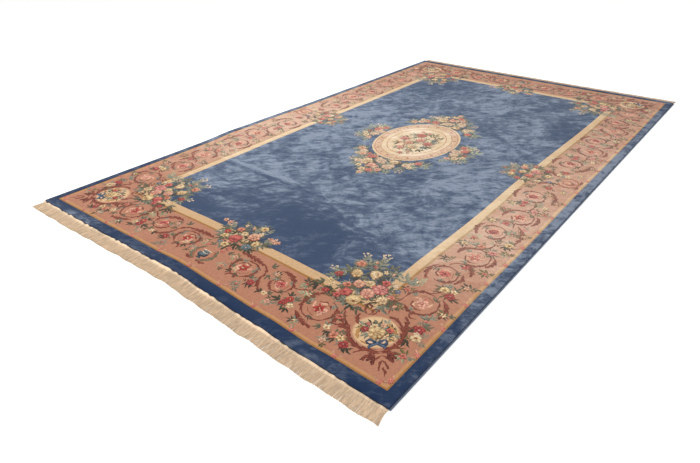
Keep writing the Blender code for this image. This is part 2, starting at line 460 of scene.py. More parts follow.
def toned(tree, colour, tone):
    """A colour, or a place, times a number."""
    return put(tree, "ShaderNodeVectorMath", {0: colour, "Scale": tone}, operation="SCALE").outputs[0]


def bumped(tree, shader, height, distance):
    bump = put(tree, "ShaderNodeBump", {"Height": height, "Distance": distance, "Strength": 0.6})
    tree.links.new(bump.outputs[0], shader.inputs["Normal"])


def pile_material(colours, sizes):
    """The field, its bands, the roundels' discs and the medallion's rings, all in one wool pile."""
    made, tree, shader = new_material("pile wool")
    cloth = put(tree, "ShaderNodeAttribute", attribute_name="cloth").outputs["Vector"]
    fibre = placed(tree, "pile fibre", {"Place": cloth})
    x, y, light = put(tree, "ShaderNodeSeparateXYZ", {0: cloth}).outputs

    def flat(name):
        return (*getattr(colours, name), 1.0)

    colour, masks = flat("field"), {}
    for band in BANDS:
        mask = placed(tree, "band edge", {"Cloth": cloth, "Side": band.side, "End": band.end})["Mask"]
        colour = blended(tree, mask, colour, flat(band.colour))
        masks[band.name] = mask
    colour = blended(tree, in_roundels(tree, x, y, sizes.roundel), colour, flat("ivory"))
    oval = in_medallion(tree, x, y, sizes)
    ramp = put(tree, "ShaderNodeValToRGB", {0: oval})
    ramp.color_ramp.interpolation = "CONSTANT"
    stops = ramp.color_ramp.elements
    while len(stops) < len(MEDALLION_RINGS):
        stops.new(0.5)
    for stop, ring in zip(stops, MEDALLION_RINGS):
        stop.position = ring.start
        stop.color = flat(ring.colour)
    colour = blended(tree, ranged(tree, oval, 0.997, 1.003, 1.0, 0.0), colour, ramp.outputs[0])

    # Painted sheen: the nap's light is added to the wool's colour, warmer over the cream and rose bands than
    # over the field and navy.
    warm = maths(tree, "SUBTRACT", masks["cream"], masks["navy"])
    haze = Vector(colours.haze)
    warm_sheen = Vector(share * part for share, part in zip(BORDER_SHEEN, haze))
    sheen_colour = blended(tree, warm, (*haze, 1.0), (*warm_sheen, 1.0))
    sheen_colour = toned(tree, sheen_colour, nap_light_on(tree, cloth, light, warm, masks["navy"]))
    lit = put(tree, "ShaderNodeVectorMath", {0: colour, 1: sheen_colour}, operation="ADD").outputs[0]
    top = toned(tree, lit, fibre["Tone"])
    under = ranged(tree, light, UNDERSIDE / 2 - 0.05, UNDERSIDE / 2 + 0.05, 1.0, 0.0)
    woven = toned(tree, blended(tree, 0.45, colour, flat("cotton")), 0.8)
    tree.links.new(blended(tree, under, top, woven), shader.inputs["Base Color"])
    bumped(tree, shader, fibre["Height"], 0.0010)
    return made


def in_roundels(tree, x, y, radius):
    """A mask that is 1 on the disc of each corner's roundel, with a soft edge."""
    beside = maths(tree, "SUBTRACT", maths(tree, "ABSOLUTE", x), ROUNDEL_CENTRE[0])
    before = maths(tree, "ADD", maths(tree, "ABSOLUTE", y), ROUNDEL_CENTRE[1])
    return ranged(tree, distance(tree, beside, before), radius - 0.014, radius + 0.004, 1.0, 0.0)


def in_medallion(tree, x, y, sizes):
    """How far out a point is in the medallion's oval: 0 in its middle and 1 on its rim."""
    middle_x, middle_y = MEDALLION_CENTRE
    across = maths(tree, "DIVIDE", maths(tree, "SUBTRACT", x, middle_x), sizes.medallion_width)
    along = maths(tree, "DIVIDE", maths(tree, "SUBTRACT", y, middle_y), sizes.medallion_length)
    return distance(tree, across, along)


def nap_light_on(tree, cloth, light, warm, navy):
    """How much painted sheen the pile gets: its large marks times fine ones, which are calmer on the warm
    wools.
    """
    marks = 0.0
    for size, share in NAP_LAYERS:
        layer = placed(tree, "nap sheen marks", {"Cloth": cloth, "Size": size})["Light"]
        marks = maths(tree, "MULTIPLY_ADD", layer, share, marks)
    even = maths(tree, "SUBTRACT", 0.5, marks)
    marks = maths(tree, "MULTIPLY_ADD", even, maths(tree, "MULTIPLY", warm, 0.6), marks)
    wisps = ranged(tree, marks, 0.46, 1.00, 0.0, 0.36)
    navy_wisps = ranged(tree, marks, 0.44, 0.74, 0.0, 0.15)
    wisps = maths(tree, "MULTIPLY_ADD", maths(tree, "SUBTRACT", navy_wisps, wisps), navy, wisps)
    both = maths(tree, "MULTIPLY_ADD", light, maths(tree, "MULTIPLY_ADD", marks, 1.90, 0.20), wisps)
    return ranged(tree, both, 0.0, 1.30, 0.0, 1.25)


def motif_material():
    """Wool of the raised motifs, dyed as each point of the motif says."""
    if "motif wool" in bpy.data.materials:
        return bpy.data.materials["motif wool"]
    made, tree, shader = new_material("motif wool")
    tint = put(tree, "ShaderNodeAttribute", attribute_name="tint").outputs["Color"]
    place = put(tree, "ShaderNodeTexCoord").outputs["Object"]
    fibre = placed(tree, "pile fibre", {"Place": place})
    knots = put(tree, "ShaderNodeTexVoronoi", {0: place, "Scale": 190.0}).outputs["Color"]
    knot = put(tree, "ShaderNodeSeparateXYZ", {0: knots}).outputs[0]
    shaded = toned(tree, tint, ranged(tree, knot, 0.0, 1.0, 0.72, 1.26))
    tree.links.new(toned(tree, shaded, fibre["Tone"]), shader.inputs["Base Color"])
    bumped(tree, shader, fibre["Height"], 0.0008)
    return made


# Between these heights off the floor the yarn of the fringe turns paler, towards its heading
PALER_FROM = 0.0025
PALER_TO = 0.010


def yarn_material(name, colour, twist, crest=0.0):
    """Plied yarn, with so many twists to the metre. The crest is how much paler its top is."""
    made, tree, shader = new_material(name, 0.9, 0.15)
    place = put(tree, "ShaderNodeTexCoord").outputs["Object"]
    strands = noise(tree, scaled(tree, place, (twist, twist / 9, twist / 3)), 1.0, 3.0)
    locks = noise(tree, scaled(tree, place, (twist / 6, twist / 40, twist / 12)), 1.0, 3.0)
    both = maths(tree, "MULTIPLY_ADD", locks, 0.50, maths(tree, "MULTIPLY", strands, 0.50))
    high = put(tree, "ShaderNodeSeparateXYZ", {0: place}).outputs[2]
    paler = ranged(tree, high, PALER_FROM, PALER_TO, 0.0, crest)
    tone = maths(tree, "ADD", ranged(tree, both, 0.32, 0.68, 0.70, 1.14), paler)
    tree.links.new(toned(tree, colour, tone), shader.inputs["Base Color"])
    bumped(tree, shader, strands, 0.0006)
    return made


# The medallion's rings, from the middle outwards, as shares of the oval
Ring = namedtuple("Ring", "start colour")
MEDALLION_RINGS = rows(
    Ring,
    (0.0, "pearl"), (0.664, "staff"), (0.68, "pearl"), (0.8, "blush"), (0.926, "rose"), (0.95, "pearl"),
)
MEDALLION_CENTRE = (-0.010, 0.025)
ROUNDEL_CENTRE = (1.070, -1.979)


# Motifs: small raised shapes, kept once each and stamped many times


# Each dye's deep and pale colour, then the dye of the heart that goes with a flower's petals
Dye = namedtuple("Dye", "deep pale")
DYES = {
    "pink": Dye((142, 46, 54), (228, 164, 146)), "deep_rose": Dye((118, 32, 38), (214, 114, 100)),
    "red": Dye((112, 26, 28), (190, 72, 60)), "crimson": Dye((94, 28, 30), (178, 72, 66)),
    "orange": Dye((136, 52, 42), (220, 150, 120)), "peach": Dye((150, 74, 58), (228, 184, 150)),
    "cream": Dye((150, 104, 66), (234, 210, 166)), "yellow": Dye((142, 98, 58), (230, 202, 150)),
    "blush": Dye((158, 82, 68), (228, 178, 150)), "amber": Dye((104, 48, 28), (176, 100, 58)),
    "white": Dye((150, 108, 84), (232, 206, 174)), "blue": Dye((30, 42, 66), (92, 112, 136)),
    "steel": Dye((44, 56, 66), (118, 134, 138)), "sage": Dye((84, 84, 70), (156, 154, 134)),
    "fern": Dye((96, 97, 74), (192, 192, 154)), "leaf": Dye((54, 50, 38), (122, 118, 92)),
    "dark": Dye((36, 32, 27), (86, 80, 60)), "olive": Dye((56, 52, 30), (132, 118, 74)),
    "maroon": Dye((64, 23, 20), (140, 69, 52)), "stem": Dye((112, 62, 46), (168, 104, 78)),
    "gold": Dye((134, 86, 42), (196, 144, 86)), "coral": Dye((146, 60, 54), (208, 130, 110)),
    "ribbon": Dye((150, 98, 78), (202, 150, 122)),
}
HEARTS = {
    "pink": "crimson", "deep_rose": "crimson", "red": "yellow", "crimson": "pink", "orange": "amber",
    "peach": "orange", "cream": "amber", "yellow": "amber", "blush": "pink", "white": "yellow",
    "blue": "white", "steel": "white",
}

# The dyes that leaves and small flowers are picked from
LEAF_DYES = ("sage", "sage", "leaf", "leaf", "dark", "olive")
SPRIG_DYES = ("sage", "olive", "leaf", "fern", "dark", "olive")
GARLAND_DYES = ("fern", "dark", "olive", "dark", "fern", "leaf")
FILL_DYES = ("peach", "cream", "coral", "blush", "deep_rose", "yellow", "cream")
GARLAND_FILL = ("cream", "white", "white", "blush", "cream", "peach")
BOUQUET_DYES = ("fern", "olive", "sage", "stem", "fern")

# How deep the rim of a raised shape is set into the pile, as a share of the relief
BURIED = -0.22

# The weavers shade each shape as if light came from one side: its angle from +X, and how much it tells
LIT_WAY = math.radians(115)
LIT_SHARE = 0.26

# The parts of a shape that are dyed apart from each other
PETALS, HEART, GREEN = 0, 1, 2


def part(number):
    """Marks points with their shade and their part, to be dyed when the shape is stamped."""
    return lambda shade: (shade, number, 0.0, 1.0)


def dyed(name):
    """Colours points at once: a shade of 0 is the dye's deep colour and 1 its pale one."""
    deep, pale = (Vector(wool(*shade)) for shade in DYES[name])
    return lambda shade: (*deep.lerp(pale, shade), 1.0)


def beyond(at, reach, turn):
    """The point at a distance from another. A turn is in degrees, clockwise from +Y."""
    way = math.radians(turn)
    return (at[0] + reach * math.sin(way), at[1] + reach * math.cos(way))


def tint_layer(bm):
    return bm.verts.layers.float_color.get("tint") or bm.verts.layers.float_color.new("tint")


def petal(bm, at, turn, length, half_width, fullness, rise, ink, shades, sides=7, skirt=False):
    """A petal from a point on, bulging in the middle: rise is its rim's height and its crown's."""
    tint = tint_layer(bm)
    rim = bmesh.ops.create_circle(bm, cap_ends=True, segments=sides, radius=1.0)["verts"]
    crown = bmesh.ops.poke(bm, faces=rim[0].link_faces[:])["verts"]
    way = Matrix.Rotation(-math.radians(turn), 2)
    for vert in rim:
        ahead, aside = vert.co.y, vert.co.x
        flat = (aside * half_width * (1 + fullness * ahead), length * (0.5 + 0.5 * ahead))
        place = way @ Vector(flat)
        vert.co = (at[0] + place.x, at[1] + place.y, rise[0])
        vert[tint] = ink(min(1.0, max(0.0, shades[0] + 0.15 * ahead)))
    place = way @ Vector((0, length * (0.5 + 0.12 * fullness)))
    crown[0].co = (at[0] + place.x, at[1] + place.y, rise[1])
    crown[0][tint] = ink(shades[1])
    # The skirt runs from the rim down into the pile and is dyed deepest: the dark outline woven round the
    # shape, and painted shade where the carved rim drops into the pile.
    if skirt:
        edges = list({e for vert in rim for e in vert.link_edges if e.is_boundary})
        made = bmesh.ops.extrude_edge_only(bm, edges=edges)["geom"]
        for vert in (g for g in made if isinstance(g, bmesh.types.BMVert)):
            vert.co.z = BURIED
            vert[tint] = ink(0.0)


# A strip's shades: its left edge, its middle and its right edge
STRIP_SHADES = (0.0, 0.88, 0.28)


def strip(bm, path, width, lobes, ink, crown=0.7, steps=14, ends=0.6):
    """A ribbon along a path, pointed at both ends. Its lobes lean forward, as on an acanthus leaf."""
    tint = tint_layer(bm)
    steps = lobes * 4 or steps
    for vert in bmesh.ops.create_grid(bm, x_segments=2, y_segments=steps, size=1.0)["verts"]:
        side, along = vert.co.x, (vert.co.y + 1) / 2
        lobe = (along * lobes) % 1 if 0 < along < 1 else 0.0
        spread = math.sin(math.pi * (0.03 + 0.94 * along)) ** ends
        if lobes and side:
            spread *= 0.50 + 1.00 * lobe
            along += 0.50 * lobe / lobes
        here, ahead = Vector(path(along)), Vector(path(along + 0.01))
        forward = (ahead - here).normalized()
        out = Vector((-forward.y, forward.x))
        place = here + out * side * spread * width / 2
        vert.co = (place.x, place.y, BURIED if side else crown * min(1.0, 0.35 + spread))
        vert[tint] = ink(STRIP_SHADES[round(side) + 1])


def leaf(bm, at, turn, length, half_width, ink, crown=0.55):
    """A leaf with a rib, light on one half and dark on the other, and a slightly cut edge."""
    tint = tint_layer(bm)
    way = Matrix.Rotation(-math.radians(turn), 2)
    for vert in bmesh.ops.create_grid(bm, x_segments=2, y_segments=5, size=1.0)["verts"]:
        side, along = vert.co.x, (vert.co.y + 1) / 2
        cut = 1.0 if round(along * 5) % 2 else 0.82
        spread = math.sin(math.pi * (0.02 + 0.96 * along) ** 0.8) ** 0.8 * cut
        bent = 0.10 * length * math.sin(math.pi * along)
        place = way @ Vector((side * half_width * spread + bent, length * along))
        vert.co = (at[0] + place.x, at[1] + place.y, BURIED if side else crown)
        vert[tint] = ink(0.45 + 0.42 * side)


def bent(start, end, bow):
    """A path from one point to another that bows to its left by a share of its length."""
    start, end = Vector(start), Vector(end)
    across = Vector((start.y - end.y, end.x - start.x))
    return lambda t: start.lerp(end, t) + across * bow * 4 * t * (1 - t)


def oval_path(wide, long):
    """A closed path round the middle of the medallion."""
    x, y = MEDALLION_CENTRE
    return lambda t: (x + wide * math.cos(2 * math.pi * t), y + long * math.sin(2 * math.pi * t))


def curled(centre, radius, start, sweep, inward=1.0):
    """A path round a centre, from an angle on and over a sweep, closing in to a share of its radius."""

    def path(t):
        angle = math.radians(start + sweep * t)
        reach = radius * (1 + (inward - 1) * t)
        return (centre[0] + reach * math.cos(angle), centre[1] + reach * math.sin(angle))

    return path


def rose(bm):
    """A full rose: a dark ground, broad outer petals, folded inner ones and a deep heart above the middle."""
    petal(bm, (0, -0.90), 0, 1.80, 0.88, 0, (0.30, 0.45), part(PETALS), (0.0, 0.0), 10, skirt=True)
    for turn, reach, half in (
        (12, 0.56, 0.30), (66, 0.78, 0.34), (112, 0.92, 0.44), (166, 0.98, 0.52),
        (214, 0.92, 0.46), (268, 0.84, 0.38), (318, 0.62, 0.32),
    ):
        at = beyond((0, 0.06), 0.16, turn)
        petal(bm, at, turn, reach, half * 0.88, 0.50, (0.34, 1.0), part(PETALS), (0.08, 1.0))
    for turn, reach, half in ((150, 0.50, 0.34), (214, 0.46, 0.30), (90, 0.44, 0.24), (278, 0.42, 0.22)):
        petal(bm, (0, 0.20), turn, reach, half, 0.3, (0.62, 1.2), part(PETALS), (0.0, 0.75), 6)
    petal(bm, (0, 0.06), 0, 0.40, 0.26, 0, (0.85, 1.3), part(HEART), (0.0, 0.15), 7)
    for turn in (-64, 8, 70):
        petal(bm, (0, 0.20), turn, 0.30, 0.12, 0.2, (0.95, 1.4), part(PETALS), (0.2, 0.9), 5)


def cup(bm):
    """A rose seen from the side, with its opening to +Y."""
    petal(bm, (0, -0.92), 0, 1.74, 0.84, 0.10, (0.30, 0.45), part(PETALS), (0.0, 0.0), 10, skirt=True)
    for turn in (-40, 40, 0):
        petal(bm, (0, 0.10), turn, 0.80, 0.36, 0.30, (0.34, 0.9), part(PETALS), (0.15, 0.85))
    petal(bm, (0, 0.08), 0, 0.40, 0.36, 0, (0.70, 0.95), part(HEART), (0.15, 0.45), 8)
    for turn in (-70, 70):
        petal(bm, (0, 0.20), turn, 0.34, 0.14, 0.3, (0.75, 1.0), part(PETALS), (0.1, 0.7), 5)
    for turn, reach, half in ((-30, 1.36, 0.44), (32, 1.30, 0.44), (-4, 1.12, 0.50)):
        petal(bm, (0, -0.92), turn, reach, half, 0.35, (0.36, 1.15), part(PETALS), (0.12, 1.0), 8)


def blossom(bm):
    """An open flower with five ruffled petals and a small heart."""
    for i in range(5):
        at = beyond((0, 0), 0.10, 72 * i)
        petal(bm, at, 72 * i, 0.90, 0.46, 0.45, (BURIED, 1.0), part(PETALS), (0.25, 1.0), 8)
    petal(bm, (0, -0.24), 0, 0.48, 0.24, 0, (0.5, 1.3), part(HEART), (0.2, 0.9), 6)


def star(bm):
    """A flower with five pointed petals."""
    for i in range(5):
        at = beyond((0, 0), 0.08, 72 * i)
        petal(bm, at, 72 * i, 0.98, 0.34, -0.35, (BURIED, 0.9), part(PETALS), (0.20, 0.9), 6)
    petal(bm, (0, -0.20), 0, 0.40, 0.20, 0, (0.4, 1.2), part(HEART), (0.3, 1.0), 6)


def daisy(bm):
    """A small simple flower."""
    for i in range(5):
        petal(bm, (0, 0), 72 * i, 1.0, 0.34, 0.2, (BURIED, 0.8), part(PETALS), (0.45, 1.0), 5)
    petal(bm, (0, -0.22), 0, 0.44, 0.22, 0, (0.3, 1.0), part(HEART), (0.3, 0.9), 5)


def bud(bm):
    """A closed flower in its calyx, with the tip to +Y."""
    petal(bm, (0, -0.55), 0, 1.45, 0.48, 0.15, (BURIED, 0.8), part(PETALS), (0.15, 0.7), 8)
    petal(bm, (-0.05, -0.45), -16, 1.20, 0.27, 0.3, (0.0, 1.1), part(PETALS), (0.35, 1.0), 6)
    petal(bm, (0.02, -0.45), 14, 1.05, 0.24, 0.3, (0.0, 1.2), part(HEART), (0.2, 0.8), 6)
    for turn in (-48, 46, 176):
        leaf(bm, (0, -0.55), turn, 0.75, 0.14, part(GREEN))


def tulip(bm):
    """A small three-tipped flower with the tips to +Y."""
    for turn in (-38, 38, 0):
        petal(bm, (0, -0.8), turn, 1.7, 0.34, -0.1, (BURIED, 0.9), part(PETALS), (0.1, 0.85), 6)
    petal(bm, (0, -1.0), 0, 0.5, 0.22, 0, (BURIED, 1.0), part(HEART), (0.1, 0.7), 5)


def fan(bm):
    """Three leaves that spread from a stalk."""
    for turn, length in ((-46, 0.84), (44, 0.80), (0, 1.0)):
        leaf(bm, (0, 0), turn, length, 0.205, part(PETALS))


def frond(bm):
    """Five leaflets along a stalk."""
    strip(bm, bent((0, 0), (0, 0.7), 0.05), 0.05, 0, part(PETALS), 0.5, 4)
    for at, turn in ((0.12, -58), (0.22, 54), (0.42, -46), (0.52, 42), (0.66, -4)):
        leaf(bm, (0, at), turn, 0.46, 0.145, part(PETALS))


def spray(bm):
    """A thin stalk with small pale flowers at its tips and a few leaves."""
    tips = ((0, 1.0), (-0.26, 0.82), (0.24, 0.76), (-0.12, 0.58))
    for x, y in tips:
        strip(bm, bent((0, 0), (x, y), -0.12), 0.045, 0, part(GREEN), 0.4, 5)
    for turn, at in ((-50, 0.1), (48, 0.2), (-40, 0.38), (38, 0.46)):
        leaf(bm, (0, at), turn, 0.36, 0.075, part(GREEN))
    for x, y in tips:
        for turn in (-55, 0, 55, 180):
            petal(bm, (x, y), turn, 0.15, 0.06, 0, (BURIED, 1.0), part(PETALS), (0.5, 1.0), 4)


def bow(bm):
    """A ribbon bow: two full loops with light folds in them, two tails and a knot."""
    for side in (-1, 1):
        petal(bm, (0, 0), 74 * side, 1.0, 0.40, 0.30, (0.2, 0.9), part(PETALS), (0.0, 0.55), 8, skirt=True)
        petal(bm, (0.34 * side, 0.08), 76 * side, 0.42, 0.15, 0.2, (0.8, 1.3), part(HEART), (0.3, 0.9), 6)
        tail = bent((0.05 * side, -0.05), (0.66 * side, -0.62), 0.20 * side)
        strip(bm, tail, 0.34, 0, part(PETALS), 0.9, 6, ends=0.3)
    petal(bm, (0, -0.2), 0, 0.38, 0.17, 0, (0.9, 1.5), part(PETALS), (0.3, 1.0), 6)


def binding(bm):
    """A ribbon wound over the staff, which runs along X, with its ends spread over the ground at +Y."""
    for side in (-1, 1):
        end = bent((0.10 * side, 0.20), (1.15 * side, 1.20), -0.16 * side)
        strip(bm, end, 0.48, 0, part(HEART), 0.5, 6, ends=0.3)
    for at, lean in ((-0.30, 0.22), (0.0, 0.26), (0.30, 0.22)):
        wrap = bent((at - lean, -0.50), (at + lean, 0.52), 0.08)
        strip(bm, wrap, 0.42, 0, part(PETALS), 1.2, 5, ends=0.2)


def urn(bm):
    """A round vase with pale bands, its mouth to +Y."""
    petal(bm, (0, -0.66), 0, 1.16, 0.62, 0.10, (0.2, 1.2), part(PETALS), (0.0, 0.85), 12, skirt=True)
    petal(bm, (0, -0.98), 0, 0.42, 0.36, -0.45, (BURIED, 0.9), part(PETALS), (0.0, 0.4), 6)
    for at, half, share in ((0.64, 0.58, HEART), (0.44, 0.42, PETALS), (0.16, 0.56, HEART)):
        strip(bm, bent((-half, at), (half, at), -0.06), 0.20, 0, part(share), 1.45, 6, ends=0.25)


SHAPES = (rose, cup, blossom, star, daisy, bud, tulip, fan, frond, spray, bow, binding, urn)


def keep_shapes():
    """Builds each shape once."""
    for shape in SHAPES:
        bm = bmesh.new()
        shape(bm)
        mesh_of(shape.__name__, bm)


def stamp(bm, name, at, size, turn, dyes, level=0.0):
    """Adds a copy of a kept shape, in its size, turn and colours. A level raises it over what is under it."""
    mesh = bpy.data.meshes[name].copy()
    marks = tints_of(mesh)
    colours = np.array([[wool(*shade) for shade in DYES[dye]] for dye in dyes])
    chosen = colours[marks[:, 1].round().astype(int)]
    x, y, _ = points_of(mesh).T
    towards = LIT_WAY + math.radians(turn)
    lit = x * math.cos(towards) + y * math.sin(towards)
    shade = np.clip(marks[:, :1] + LIT_SHARE * lit[:, None], 0, 1)
    marks[:, :3] = chosen[:, 0] + (chosen[:, 1] - chosen[:, 0]) * shade
    mesh.attributes["tint"].data.foreach_set("color", marks.ravel())
    place = Matrix.Translation((at[0], at[1], level))
    mesh.transform(place @ Matrix.Rotation(-math.radians(turn), 4, "Z") @ Matrix.Diagonal((size, size, 1, 1)))
    bm.from_mesh(mesh)
    bpy.data.meshes.remove(mesh)


# What is drawn where, for the quarter with x over 0 and y under 0 unless a table says otherwise

Flower = namedtuple("Flower", "shape x y size dye turn", defaults=(None,))
Leaves = namedtuple("Leaves", "shape x y size dye turn")
Stroke = namedtuple("Stroke", "x y to_x to_y bow width lobes dye", defaults=("maroon",))
Arc = namedtuple("Arc", "x y radius start sweep inward width lobes dye", defaults=("maroon",))

CORNER_LEAVES = rows(
    Leaves,
    ("fan", 0.64, -1.88, 0.085, "dark", 215), ("fan", 0.868, -1.895, 0.07, "dark", 178),
    ("fan", 0.905, -1.89, 0.07, "leaf", 150), ("fan", 0.82, -1.885, 0.075, "sage", 196),
    ("fan", 0.77, -1.87, 0.07, "dark", 208), ("fan", 1.0, -1.765, 0.09, "leaf", 112),
    ("fan", 0.985, -1.815, 0.08, "sage", 128), ("fan", 1.0, -1.6, 0.085, "sage", 8),
    ("frond", 0.955, -1.62, 0.1, "sage", -8), ("fan", 0.69, -1.745, 0.09, "sage", 282),
    ("fan", 0.7, -1.7, 0.09, "leaf", 300), ("frond", 0.735, -1.66, 0.105, "sage", 318),
    ("frond", 0.7, -1.77, 0.1, "sage", 258), ("fan", 0.72, -1.64, 0.075, "leaf", -20),
    ("frond", 0.8, -1.6, 0.115, "sage", -8), ("frond", 0.845, -1.59, 0.105, "leaf", 12),
    ("fan", 0.74, -1.59, 0.08, "sage", -40), ("frond", 0.88, -1.61, 0.1, "sage", 24),
    ("fan", 0.65, -1.85, 0.07, "leaf", 250), ("fan", 0.71, -1.86, 0.065, "dark", 200),
    ("fan", 0.77, -1.73, 0.06, "dark", 300), ("fan", 0.87, -1.68, 0.055, "dark", 10),
    ("fan", 0.83, -1.79, 0.06, "dark", 20), ("fan", 0.92, -1.84, 0.055, "dark", 100),
    ("fan", 0.755, -1.83, 0.055, "leaf", 280), ("fan", 0.94, -1.69, 0.055, "leaf", 60),
)
CORNER_FLOWERS = rows(
    Flower,
    ("spray", 0.785, -1.535, 0.085, "white", -6), ("spray", 0.7, -1.575, 0.075, "white", -22),
    ("spray", 0.655, -1.74, 0.068, "white", -66), ("bud", 0.766, -1.552, 0.021, "peach", -12),
    ("bud", 0.784, -1.588, 0.023, "crimson", -4), ("bud", 0.896, -1.587, 0.021, "peach", 14),
    ("blossom", 0.704, -1.604, 0.029, "orange"), ("blossom", 0.754, -1.79, 0.023, "orange"),
    ("blossom", 0.907, -1.664, 0.026, "deep_rose"), ("blossom", 0.987, -1.741, 0.021, "coral"),
    ("blossom", 0.662, -1.746, 0.024, "crimson"), ("daisy", 0.66, -1.814, 0.022, "yellow"),
    ("daisy", 0.69, -1.836, 0.018, "cream"), ("blossom", 0.697, -1.893, 0.021, "crimson"),
    ("blossom", 0.761, -1.886, 0.021, "deep_rose"), ("daisy", 0.99, -1.684, 0.019, "blue"),
    ("daisy", 0.96, -1.655, 0.017, "white"), ("daisy", 0.856, -1.59, 0.016, "cream"),
    ("rose", 0.841, -1.717, 0.027, "cream"), ("rose", 0.968, -1.785, 0.031, "cream"),
    ("rose", 0.735, -1.689, 0.034, "yellow"), ("cup", 0.824, -1.635, 0.038, "cream", 30),
    ("rose", 0.797, -1.752, 0.033, "peach"), ("rose", 0.917, -1.722, 0.041, "pink"),
    ("rose", 0.876, -1.788, 0.04, "blush"), ("cup", 0.785, -1.842, 0.036, "deep_rose", 220),
    ("cup", 0.853, -1.868, 0.044, "yellow", 150),
)
CORNER_STROKES = (
    Arc(0.94, -1.862, 0.022, 200, -250, 0.6, 0.009, 0),
    Arc(0.988, -1.872, 0.02, 20, 240, 0.6, 0.009, 0),
    Stroke(0.965, -1.905, 0.935, -1.845, 0.2, 0.008, 0),
    Stroke(0.965, -1.905, 0.998, -1.855, -0.2, 0.008, 0),
)

ROUNDEL_LEAVES = rows(
    Leaves,
    ("fan", 1.052, -1.945, 0.062, "leaf", -14), ("fan", 1.1, -1.948, 0.062, "dark", 30),
    ("fan", 1.036, -1.962, 0.06, "dark", -52), ("fan", 1.122, -1.982, 0.06, "leaf", 72),
    ("fan", 1.032, -1.998, 0.05, "leaf", -96), ("fan", 1.122, -2.012, 0.048, "dark", 112),
    ("fan", 1.06, -2.018, 0.048, "sage", 218), ("frond", 1.076, -1.93, 0.06, "sage", 2),
    ("frond", 1.022, -1.975, 0.056, "sage", -80), ("frond", 1.13, -1.96, 0.056, "sage", 58),
)
ROUNDEL_FLOWERS = rows(
    Flower,
    ("blossom", 1.024, -1.994, 0.02, "crimson"), ("blossom", 1.118, -1.936, 0.019, "deep_rose"),
    ("daisy", 1.072, -1.922, 0.018, "peach"), ("daisy", 1.014, -1.958, 0.014, "coral"),
    ("blossom", 1.046, -1.956, 0.021, "cream"), ("daisy", 1.13, -1.986, 0.017, "cream"),
    ("bow", 1.12, -2.036, 0.052, "blue", -36), ("rose", 1.082, -1.984, 0.042, "yellow"),
)
ROUNDEL_STROKES = (
    Stroke(0.985, -2.048, 0.893, -2.0, 0.1, 0.02, 3),
    Stroke(0.985, -2.048, 0.88, -2.06, -0.1, 0.018, 3),
    Stroke(0.985, -1.985, 0.94, -1.925, 0.16, 0.016, 3),
    Arc(1.07, -1.979, 0.124, 315, -118, 1.0, 0.024, 6),
    Arc(1.07, -1.979, 0.124, 315, 118, 1.0, 0.024, 6),
    Stroke(1.181, -1.925, 1.196, -1.838, 0.12, 0.02, 3),
    Stroke(1.166, -1.905, 1.118, -1.812, -0.12, 0.018, 3),
    Stroke(1.128, -1.868, 1.062, -1.862, -0.16, 0.016, 2),
    Arc(1.07, -1.979, 0.09, 20, 62, 0.76, 0.017, 3, "gold"),
    Arc(1.07, -1.979, 0.09, 250, -62, 0.76, 0.017, 3, "gold"),
    Arc(1.07, -1.979, 0.09, 12, -40, 0.84, 0.012, 2, "gold"),
    Arc(1.07, -1.979, 0.09, 258, 40, 0.84, 0.012, 2, "gold"),
    Stroke(1.163, -2.072, 1.246, -2.036, 0.14, 0.016, 2),
    Stroke(1.163, -2.072, 1.128, -2.158, -0.14, 0.016, 2),
    Stroke(1.176, -2.084, 1.242, -2.086, 0.1, 0.012, 2),
    Stroke(1.176, -2.084, 1.178, -2.152, -0.1, 0.012, 2),
    Stroke(1.196, -2.104, 1.248, -2.128, 0.08, 0.01, 0),
    Stroke(1.196, -2.104, 1.22, -2.158, -0.08, 0.01, 0),
    Stroke(1.222, -2.13, 1.258, -2.168, 0.02, 0.01, 0),
    Stroke(1.14, -2.068, 1.075, -2.145, -0.12, 0.01, 0),
    Stroke(1.159, -2.05, 1.236, -1.988, 0.12, 0.01, 0),
)
PALMETTES = rows(
    Flower,
    ("tulip", 1.218, -2.058, 0.028, "maroon", 78), ("tulip", 1.15, -2.128, 0.028, "maroon", 192),
)

